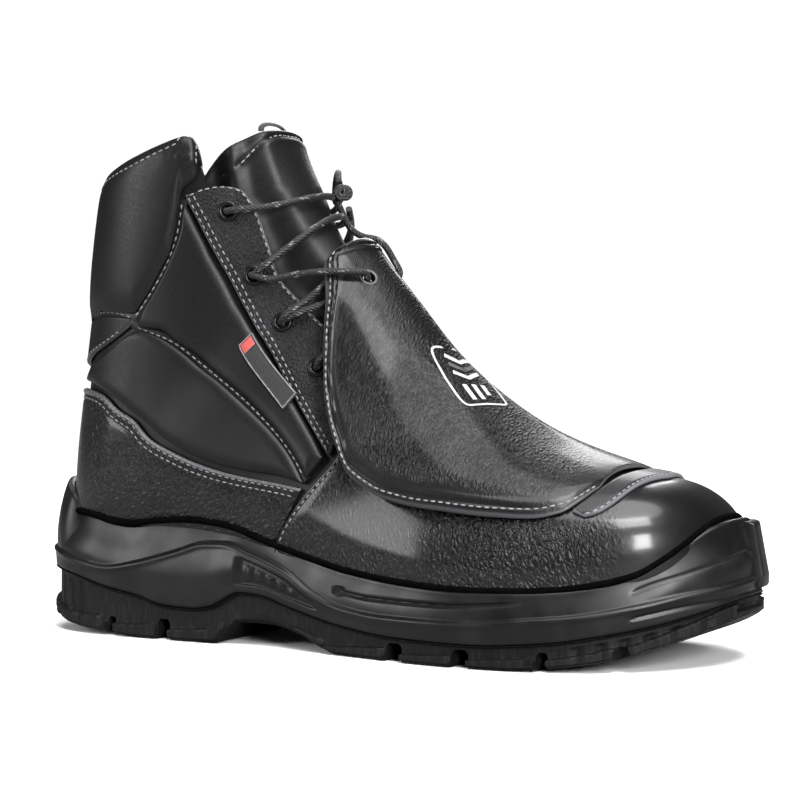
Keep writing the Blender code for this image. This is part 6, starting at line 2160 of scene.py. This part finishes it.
@dataclass
class SolePlan:
    """The sole's outline, which both of its layers follow."""

    size: LastSize

    def level(self, table: Sequence[Level], along: np.ndarray) -> np.ndarray:
        """Height of a line at shares along the sole."""
        return read_smooth(table, 1, along) * self.size.seat_height

    def edge(self, turn: np.ndarray, medial: np.ndarray, inset: np.ndarray | float = 0.0) -> np.ndarray:
        """Edge in plan, moved inwards.

        Args:
            turn: From 0 at the heel to pi at the toe.
            medial: Whether a point is on the inner side.
            inset: Metres inwards.

        Returns:
            Points (..., 2).
        """
        step = 0.004
        here, ahead, back = (self._bare(turn + shift, medial) for shift in (0.0, step, -step))
        way = ahead - back
        inward = np.stack([way[..., 1], -way[..., 0]], -1) * np.where(medial, 1, -1)[..., None]
        inward /= np.maximum(np.linalg.norm(inward, axis=-1, keepdims=True), 1e-9)
        return here + inward * np.asarray(inset)[..., None]

    def _bare(self, turn: np.ndarray, medial: np.ndarray) -> np.ndarray:
        rows = np.array(SOLE_PLAN, float)
        knots = np.arccos(1 - 2 * rows[:, 0])
        offset = smooth(knots, rows[:, 1], turn)
        width = np.where(medial, smooth(knots, rows[:, 3], turn), -smooth(knots, rows[:, 2], turn))
        x = -0.5 * self.size.sole_length * np.cos(turn)
        return np.stack([x, (offset + width) * self.size.ball_width], axis=-1)

    @staticmethod
    def ring(count: int) -> tuple[np.ndarray, np.ndarray]:
        """Turns and sides of a closed ring of places round the sole."""
        turns = 0.07 + (np.pi - 0.14) * crowded(count, 0.25)
        return np.concatenate([turns, turns[::-1]]), np.repeat([False, True], count)


def strips(count: int) -> np.ndarray:
    """Faces that span a closed ring of twice count points from side to side."""
    a = np.arange(count - 1)
    return np.stack([a, a + 1, 2 * count - 2 - a, 2 * count - 1 - a], 1)


@dataclass
class Midsole:
    """The injected foam midsole with its cut lines, arch panel, heel tab and toe strip."""

    last: Last
    finishes: Finishes
    plan: SolePlan
    count: int = 400
    rows: int = 74
    step: float = 0.0013
    line_depth: float = 0.0010
    line_width: float = 0.00075
    bead_half_width: float = 0.0011
    bead_half_height: float = 0.0013
    bead_lift: float = 0.0005
    overhang: float = 0.0035

    def relief(self, along: np.ndarray, z: np.ndarray) -> np.ndarray:
        """How far the side wall is cut in, at shares along and heights."""
        plan = self.plan
        waist = plan.level(WAIST, along)
        inset = self.step * step_up(z, waist - 0.0005, waist + 0.0005)
        inset = inset - 0.0005 * np.exp(-(((z - waist + 0.0012) / 0.0010) ** 2))
        for table, start, end, depth in (
            (UPPER_GROOVE, 0.515, 0.765, 1.0), (TOE_GROOVE, 0.897, 1.1, 0.8), (TOE_CREASE, 0.90, 1.1, 0.45),
        ):
            line = plan.level(table, along)
            shown = step_up(along, start - 0.006, start + 0.006) * step_up(along, end + 0.02, end - 0.02)
            cut_line = np.exp(-(((z - line) / self.line_width) ** 2))
            inset = inset + depth * self.line_depth * shown * cut_line
        dot = np.hypot((along - 0.511) * plan.size.sole_length, z - 0.0241)
        inset = inset + 0.0013 * (dot < 0.0021) * np.sqrt(np.clip(1 - (dot / 0.0021) ** 2, 0, 1))
        return inset + self._arch(along, z)

    def _arch(self, along: np.ndarray, z: np.ndarray) -> np.ndarray:
        """The sunk panel at the arch with its plain upright bars."""
        waist, parting = self.plan.level(WAIST, along), self.plan.level(PARTING, along)
        low, high = parting + 0.0035, waist - 0.0032
        inside = step_up(z, low - 0.0005, low + 0.0005) * step_up(z, high + 0.0005, high - 0.0005)
        ends = step_up(along, 0.352, 0.357) * step_up(along, 0.478, 0.473)
        bars = np.sin((along - 0.35 - 0.35 * (z - 0.025)) * 2 * np.pi / 0.0172)
        raised = step_up(bars, 0.15, 0.5) * step_up(along, 0.362, 0.366) * step_up(along, 0.468, 0.464)
        middle = step_up(z, low + 0.0016, low + 0.0022) * step_up(z, high - 0.0016, high - 0.0022)
        return 0.0009 * inside * ends * (1 - 0.75 * raised * middle)

    def rim_reach(
        self, turns: np.ndarray, medial: np.ndarray, outer: np.ndarray, z: np.ndarray,
        lift: float = -0.0008, least: float = 0.0008,
    ) -> np.ndarray:
        """How far in from the rim's top edge the upper's skin at a lift lies, and at least how far."""
        station, girth = np.meshgrid(np.linspace(0, 19, 150), np.linspace(-1, 1, 161), indexing="ij")
        skin = self.last.at(station, girth, lift)
        rows, columns = skin.shape[:2]
        n = np.arange(rows * columns).reshape(rows, columns)
        quads = np.stack([n[:-1, :-1], n[:-1, 1:], n[1:, 1:], n[1:, :-1]], -1).reshape(-1, 4)
        tree = BVHTree.FromPolygons(skin.reshape(-1, 3).tolist(), quads.tolist())
        inner = self.plan.edge(turns, medial, 0.02)
        reach = []
        for start, inside, height in zip(outer, inner, z):
            origin = Vector((*start, height - 0.0008))
            way = Vector((*(inside - start), 0.0)).normalized()
            hit = tree.ray_cast(origin - 0.004 * way, way, 0.03)
            reach.append(0.0035 if hit[0] is None else max(hit[3] - 0.004, least))
        ring = np.array(reach)
        for _ in range(4):
            ring = 0.25 * np.roll(ring, 1) + 0.5 * ring + 0.25 * np.roll(ring, -1)
        return ring

    def build(self) -> list[bpy.types.Object]:
        """Builds the midsole, the heel tab and the toe's scuff strip."""
        plan = self.plan
        turns, medial = plan.ring(self.count)
        along = (1 - np.cos(turns)) / 2
        low, high = plan.level(PARTING, along), plan.level(RIM, along)
        lean = plan.level(LEAN, along)
        rings = []
        shares = crowded(self.rows, 0.15)
        for share in shares:
            z = low + (high - low) * share
            rise = np.clip((z - low) / np.maximum(high - low, 0.01), 0, 1)
            bulge = -0.0005 * np.sin(np.pi * rise) ** 2
            soft = 0.0010 * (1 - rounded(z - low, 0.0016)) + 0.0014 * (1 - rounded(high - z, 0.0016))
            tilt = lean * step_up(share, 0.35, 1.0)
            inset = 0.0002 + soft + tilt + bulge + self.relief(along, z)
            rings.append(np.column_stack([plan.edge(turns, medial, inset), z]))
        top_inset = 0.0016 + lean + self.relief(along, high)
        start = plan.edge(turns, medial, top_inset)
        reach = self.rim_reach(turns, medial, start, high)
        deep = np.minimum(high - 0.0072, low + 0.010)
        shown = np.maximum(reach - 0.0036, 0.0006)
        rim_and_inside = (
            (0.25 * shown, high + 0.0001), (0.5 * shown, high - 0.0002), (0.75 * shown, high - 0.0012),
            (shown, high - 0.0032), (shown + 0.0004, high - 0.0052), (reach + 0.0006, high - 0.0056),
            (reach + 0.0012, 0.5 * (high - 0.0056 + deep)), (reach + 0.0022, deep),
            (reach + 0.004, np.minimum(low.mean(), deep)),
        )
        for inward, z in rim_and_inside:
            rings.append(np.column_stack([plan.edge(turns, medial, top_inset + inward), z]))
        points = np.array(rings)
        mesher = Mesher("midsole_foam")
        self._close(mesher, points)
        piece = mesher.make([self.finishes.foam])
        settle(piece, "polyurethane", "midsole")
        # Where the leather meets the rim goes a near-black line of painted crease shade.
        leather = self.rim_reach(turns, medial, start, high + 0.0016, VAMP_LIFT, -self.overhang)
        crease_shade = self._joint(turns, medial, top_inset + leather, high)
        return [piece, crease_shade, self._heel_tab(), self._scuff_strip()]

    def _joint(
        self, turns: np.ndarray, medial: np.ndarray, inset: np.ndarray, high: np.ndarray
    ) -> bpy.types.Object:
        """A near-black matt bead along the rim's top: painted shade that stands in for the crease between the
        upper and the sole.
        """
        rings = []
        for turn in 2 * np.pi * np.arange(10) / 10:
            across = self.bead_half_width * np.cos(turn)
            rise = self.bead_lift + self.bead_half_height * np.sin(turn)
            rings.append(np.column_stack([self.plan.edge(turns, medial, inset - across), high + rise]))
        mesher = Mesher("painted_crease_shade_line")
        mesher.tube(Patch(np.array(rings).transpose(1, 0, 2)), ring=True)
        return settle(mesher.make([self.finishes.crease_shade]), "polyurethane")

    def _close(self, mesher: Mesher, points: np.ndarray) -> None:
        """Adds the walls between the rings and the floors under the first and last."""
        rows, size = points.shape[:2]
        numbers = np.arange(rows * size).reshape(rows, size)
        right = (np.arange(size) + 1) % size
        walls = [numbers[:-1], numbers[:-1, right], numbers[1:, right], numbers[1:]]
        walls = np.stack(walls, -1).reshape(-1, 4)
        caps = strips(size // 2)
        faces = np.concatenate([walls, caps[:, ::-1], caps + (rows - 1) * size])
        mesher.body(points.reshape(-1, 3), faces)

    def _heel_tab(self) -> bpy.types.Object:
        """The kick-off ledge behind the heel, lower at its sides."""
        seat = self.plan.size.seat_height
        depth, foot = 0.0078, 0.94 * seat
        section = np.array([
            (0.15, 0.0), (0.10, 0.32), (0.28, 0.66), (0.61, 0.96), (0.80, 1.0), (1.0, 0.97), (0.80, 0.66),
            (0.59, 0.32), (0.59, 0.0),
        ])
        rings = []
        for turn in np.linspace(-1, 1, 81):
            top = (1.92 - 0.47 * abs(turn) ** 2.6) * seat
            place, medial = abs(turn) * 0.62 + 0.012, turn > 0
            dive = 0.0050 * step_up(abs(turn), 0.70, 1.0)
            insets, rises = section[:, 0] * depth + dive, foot + section[:, 1] * (top - foot)
            turns, sides = np.full(len(section), place), np.full(len(section), medial)
            rings.append(np.column_stack([self.plan.edge(turns, sides, insets), rises]))
        rings = closed_curve(np.array(rings), 40)
        mesher = Mesher("heel_tab_foam")
        mesher.tube(Patch(rings))
        return settle(mesher.make([self.finishes.foam]), "polyurethane")

    def _scuff_strip(self) -> bpy.types.Object:
        """The raised band up the front of the toe bumper."""
        seat, plan = self.plan.size.seat_height, self.plan
        lean = plan.level(LEAN, np.array(1.0))
        waist, rim = (plan.level(table, np.array(1.0)) for table in (WAIST, RIM))
        offsets = np.linspace(-0.10, 0.10, 22)
        levels = np.linspace(0.86, 1.62, 44)
        outer, inner = [], []
        for share in levels:
            z = share * seat
            tilt = float(np.interp(z, (waist, rim), (0.0, float(lean))))
            ends = rounded(min(share - 0.86, 1.62 - share) * seat, 0.0012)
            sides = rounded(0.10 - np.abs(offsets), 0.016)
            stand = 0.0017 * np.minimum(ends, sides)
            turn, medial = np.pi - np.abs(0.10 + offsets), (0.10 + offsets) > 0
            outer.append(np.column_stack([plan.edge(turn, medial, tilt - stand), np.full(22, z)]))
            inner.append(np.column_stack([plan.edge(turn, medial, tilt + 0.0028), np.full(22, z)]))
        mesher = Mesher("toe_scuff_strip")
        mesher.shell(Patch(np.array(outer)), Patch(np.array(inner)))
        return settle(mesher.make([self.finishes.foam]), "polyurethane")


@dataclass
class Outsole:
    """The rubber outsole with its arch ledge, notched walls and cut tread."""

    finishes: Finishes
    plan: SolePlan
    count: int = 300
    lug_step: float = 0.0022
    lug_tops: tuple[float, ...] = (0.0062, 0.0062, 0.0060, 0.0040, 0.0048, 0.0044, 0.0046, 0.0048, 0.0060)
    lug_ends: tuple[tuple[int, tuple[float, ...]], ...] = (
        (-1, (0.0, 0.140, 0.226, 0.335, 0.490, 0.588, 0.688, 0.790, 0.887, 1.001)),
        (1, (0.0, 0.140, 0.226, 0.335, 0.480, 0.565, 0.672, 0.780, 0.887, 1.001)),
    )

    def build(self) -> bpy.types.Object:
        """Builds the outsole and cuts its tread."""
        plan = self.plan
        turns, medial = plan.ring(self.count)
        along = (1 - np.cos(turns)) / 2
        floor, parting = plan.level(GROUND, along), plan.level(PARTING, along)
        arch = np.exp(-(((along - 0.40) / 0.065) ** 2))
        under, ledge = 0.0016 + 0.0045 * arch, floor + 0.0014 + 0.0030 * arch
        notch = self._notches(along)
        rings = []
        profile = (
            (under + 0.0004, floor), (under - 0.0004, floor + 0.0004),
            (0.0008 + 0.3 * under, 0.5 * (floor + ledge)),
        )
        for inset, z in profile:
            rings.append(np.column_stack([plan.edge(turns, medial, inset), z]))
        for share in np.linspace(0, 1, 30):
            z = ledge + (parting - 0.0009 - ledge) * share
            cut_in = notch * step_up(parting - z, 0.0022, 0.0034) * step_up(z - floor, 0.0, 0.0008)
            above = self._above_lugs(along, medial, z - floor)
            cut_in = cut_in + above * step_up(parting - z, 0.0004, 0.0012)
            rings.append(np.column_stack([plan.edge(turns, medial, cut_in), z]))
        for inset, drop in ((0.0002, 0.0003), (0.0012, 0.0001)):
            rings.append(np.column_stack([plan.edge(turns, medial, inset), parting - drop]))
        points = np.array(rings)
        rows, size = points.shape[:2]
        numbers = np.arange(rows * size).reshape(rows, size)
        right = (np.arange(size) + 1) % size
        walls = [numbers[:-1], numbers[:-1, right], numbers[1:, right], numbers[1:]]
        walls = np.stack(walls, -1).reshape(-1, 4)
        caps = strips(size // 2)
        mesher = Mesher("outsole_rubber")
        mesher.body(points.reshape(-1, 3), np.concatenate([walls, caps[:, ::-1], caps + (rows - 1) * size]))
        piece = mesher.make([self.finishes.rubber], 35)
        tread = self._tread()
        cut(piece, tread)
        discard(tread)
        piece.data.set_sharp_from_angle(angle=math.radians(35))
        return settle(piece, "rubber", "outsole")

    def _above_lugs(self, along: np.ndarray, medial: np.ndarray, height: np.ndarray) -> np.ndarray:
        """How far the wall steps back above the lugs, whose tops slope up towards the toe."""
        inset = np.zeros_like(height)
        for side, ends in self.lug_ends:
            start, finish, tops = np.array(ends[:-1]), np.array(ends[1:]), np.array(self.lug_tops)
            lug = np.clip(np.searchsorted(start, along, side="right") - 1, 0, len(start) - 1)
            phase = np.clip((along - start[lug]) / (finish[lug] - start[lug]), 0, 1)
            top = tops[lug] * (0.62 + 0.38 * phase)
            step = self.lug_step * step_up(height, top - 0.0003, top + 0.0004)
            gap = self.lug_step * step_up(np.abs(along - finish[lug]), 0.010, 0.006)
            inset = np.where(medial == (side > 0), np.maximum(step, gap * (height > 0.4 * top)), inset)
        return inset

    @staticmethod
    def _notches(along: np.ndarray) -> np.ndarray:
        """Shallow upright notches in the walls at the toe and the heel."""
        toe = step_up(along, 0.80, 0.84) * np.clip(np.sin(along * 2 * np.pi / 0.026), 0, 1)
        heel = step_up(along, 0.12, 0.09) * np.clip(np.sin(along * 2 * np.pi / 0.022), 0, 1)
        return 0.0009 * (toe + heel)

    def _tread(self) -> bpy.types.Object:
        """A cutter with one tapered bar for each tread channel."""
        size, mesher = self.plan.size, Mesher("tread_cutter")
        for groove in GROOVES:
            start = np.array([groove.start_x * size.sole_length, groove.start_y * size.ball_width])
            end = np.array([groove.end_x * size.sole_length, groove.end_y * size.ball_width])
            width, depth = groove.width * size.sole_length, groove.depth * size.seat_height
            ahead = (end - start) / np.linalg.norm(end - start)
            across = np.array([-ahead[1], ahead[0]])
            section = [(-0.62, -0.004), (0.62, -0.004), (0.47, 0.8 * depth), (0.30, depth), (-0.30, depth),
                       (-0.47, 0.8 * depth)]
            rings = [[[*(spot + share * width * across), z] for share, z in section] for spot in (start, end)]
            mesher.tube(Patch(np.array(rings)))
        return mesher.make([])


@dataclass(frozen=True)
class SoftBox:
    """A large soft lamp: where it stands, where it points, its size in metres and its power."""

    name: str
    place: tuple[float, float, float]
    target: tuple[float, float, float]
    size: tuple[float, float]
    watts: float

    def build(self) -> None:
        """Makes the lamp."""
        light = bpy.data.lights.new(self.name, "AREA")
        light.shape = "RECTANGLE"
        light.size, light.size_y = self.size
        light.energy = self.watts
        lamp = bpy.data.objects.new(self.name, light)
        lamp.location = self.place
        aim = Vector(self.target) - Vector(self.place)
        lamp.rotation_euler = aim.to_track_quat("-Z", "Y").to_euler()
        bpy.context.scene.collection.objects.link(lamp)


@dataclass
class Studio:
    """The plain pale floor, the soft lamps and the camera at the photograph's angle."""

    azimuth: float = 28.0
    elevation: float = 1.8
    distance: float = 0.9
    target: tuple[float, float, float] = (0.0064, 0.0, 0.0947)
    lens: float = 36 * 2305 / 800
    dim: float = 0.07
    overhead: float = 3.5
    overhead_angle: float = 46.0
    overhead_tilt: tuple[float, float] = (6.0, 8.0)
    floor_radii: tuple[float, ...] = (0.3, 1.0, 3.0, 10.0, 40.0)
    floor_sides: int = 96
    lamps: tuple[SoftBox, ...] = (
        SoftBox("key_right", (0.85, -0.70, 0.42), (0.06, 0.0, 0.05), (0.26, 0.40), 15.0),
        SoftBox("key_high", (0.55, -0.45, 0.95), (0.06, 0.0, 0.06), (0.45, 0.35), 12.0),
        SoftBox("fill_left", (-0.95, -0.85, 0.45), (-0.06, 0.0, 0.1), (0.40, 0.70), 9.0),
        SoftBox("rim_back", (-0.5, 1.0, 0.7), (0.0, 0.0, 0.1), (0.7, 0.6), 9.0),
    )

    def build(self) -> None:
        """Builds the floor, the light and the camera."""
        self._floor()
        for lamp in self.lamps:
            lamp.build()
        self._overhead()
        self._surround()
        bpy.context.scene.view_settings.view_transform = "Standard"
        self._camera()

    def _overhead(self) -> None:
        """The wide soft light from above, which lights the whole floor alike."""
        light = bpy.data.lights.new("overhead", "SUN")
        light.energy = self.overhead
        light.angle = math.radians(self.overhead_angle)
        lamp = bpy.data.objects.new("overhead", light)
        lamp.rotation_euler = (*(math.radians(tilt) for tilt in self.overhead_tilt), 0.0)
        bpy.context.scene.collection.objects.link(lamp)

    def _surround(self) -> None:
        """A white backdrop to look at, and a dim room round the boot that keeps black leather black."""
        world = bpy.data.worlds.new("studio_surround")
        world.use_nodes = True
        tree = world.node_tree
        dim = tree.nodes["Background"]
        dim.inputs["Color"].default_value = linear("#ffffff")
        dim.inputs["Strength"].default_value = self.dim
        white = add_node(tree, "ShaderNodeBackground", {"Color": linear("#ffffff"), "Strength": 1.05})
        seen = add_node(tree, "ShaderNodeLightPath", {}).outputs["Is Camera Ray"]
        mixed = add_node(tree, "ShaderNodeMixShader", {0: seen, 1: dim.outputs[0], 2: white.outputs[0]})
        tree.links.new(mixed.outputs[0], tree.nodes["World Output"].inputs["Surface"])
        bpy.context.scene.world = world

    def _floor(self) -> None:
        """A wide flat floor."""
        sides = self.floor_sides
        turns = 2 * np.pi * np.arange(sides) / sides
        points = [[r * np.cos(t), r * np.sin(t), -0.0002] for r in self.floor_radii for t in turns]
        n = np.arange(len(points)).reshape(-1, sides)
        right = (np.arange(sides) + 1) % sides
        faces = np.stack([n[:-1], n[1:], n[1:, right], n[:-1, right]], -1).reshape(-1, 4).tolist()
        faces.append(n[0].tolist())
        mesh = bpy.data.meshes.new("studio_floor")
        mesh.from_pydata(points, [], faces)
        mesh.materials.append(self._paper())
        floor = bpy.data.objects.new("studio_floor", mesh)
        bpy.context.scene.collection.objects.link(floor)

    def _paper(self) -> bpy.types.Material:
        """White paper to look at, which throws only part of its light up onto the boot."""
        s = Surface("matt_white_paper")
        seen = add_node(s.tree, "ShaderNodeLightPath", {}).outputs["Is Camera Ray"]
        grain = s.noise(s.place, 3.0 * MM, 3.0)
        s.set(Base_Color=s.mix(seen, linear("#8c8c8e"), linear("#fbfbfb")))
        s.set(Roughness=0.8, Specular_IOR_Level=0.1, Normal=s.bump(grain, 0.005 * MM, 0.8))
        return s.material

    def _camera(self) -> None:
        """The camera, just over the floor, looking at the boot's outer side."""
        turn, tilt = math.radians(self.azimuth), math.radians(self.elevation)
        out = Vector((math.sin(turn) * math.cos(tilt), -math.cos(turn) * math.cos(tilt), math.sin(tilt)))
        data = bpy.data.cameras.new("camera")
        data.lens = self.lens
        data.clip_start = 0.01
        camera = bpy.data.objects.new("camera", data)
        camera.location = Vector(self.target) + self.distance * out
        camera.rotation_euler = (-out).to_track_quat("-Z", "Y").to_euler()
        bpy.context.scene.collection.objects.link(camera)
        bpy.context.scene.camera = camera


def main() -> None:
    """Builds the studio and every sub-assembly of the boot."""
    logging.basicConfig(level=logging.INFO, format="%(name)s: %(message)s")
    Studio().build()
    last, finishes = Last(SIZE), Finishes()
    plan = SolePlan(SIZE)
    stitching = Stitching("seam_stitches")
    drill = rounded_drill(last, EYELETS, EYELET_BORE, (-0.009, 0.009))
    Laces(last, finishes).build()
    Outsole(finishes, plan).build()
    Midsole(last, finishes, plan).build()
    Insole(last, finishes).build()
    BaseUpper(last, finishes).build(drill)
    Vamp(last, finishes).build(stitching)
    Counter(last, finishes).build(stitching)
    BackBand(last, finishes).build(stitching)
    SidePads(last, finishes).build()
    SeamBeds(last, finishes).build(stitching)
    Eyestays(last, finishes).build(stitching, drill)
    Eyelets(last, finishes).build()
    Collar(last, finishes).build(stitching)
    Tongue(last, finishes).build(stitching)
    Guard(last, finishes).build(stitching)
    SideTag(last, finishes).build()
    stitching.finish(finishes, "full_grain_leather")
    discard(drill)


if __name__ == "__main__":
    main()
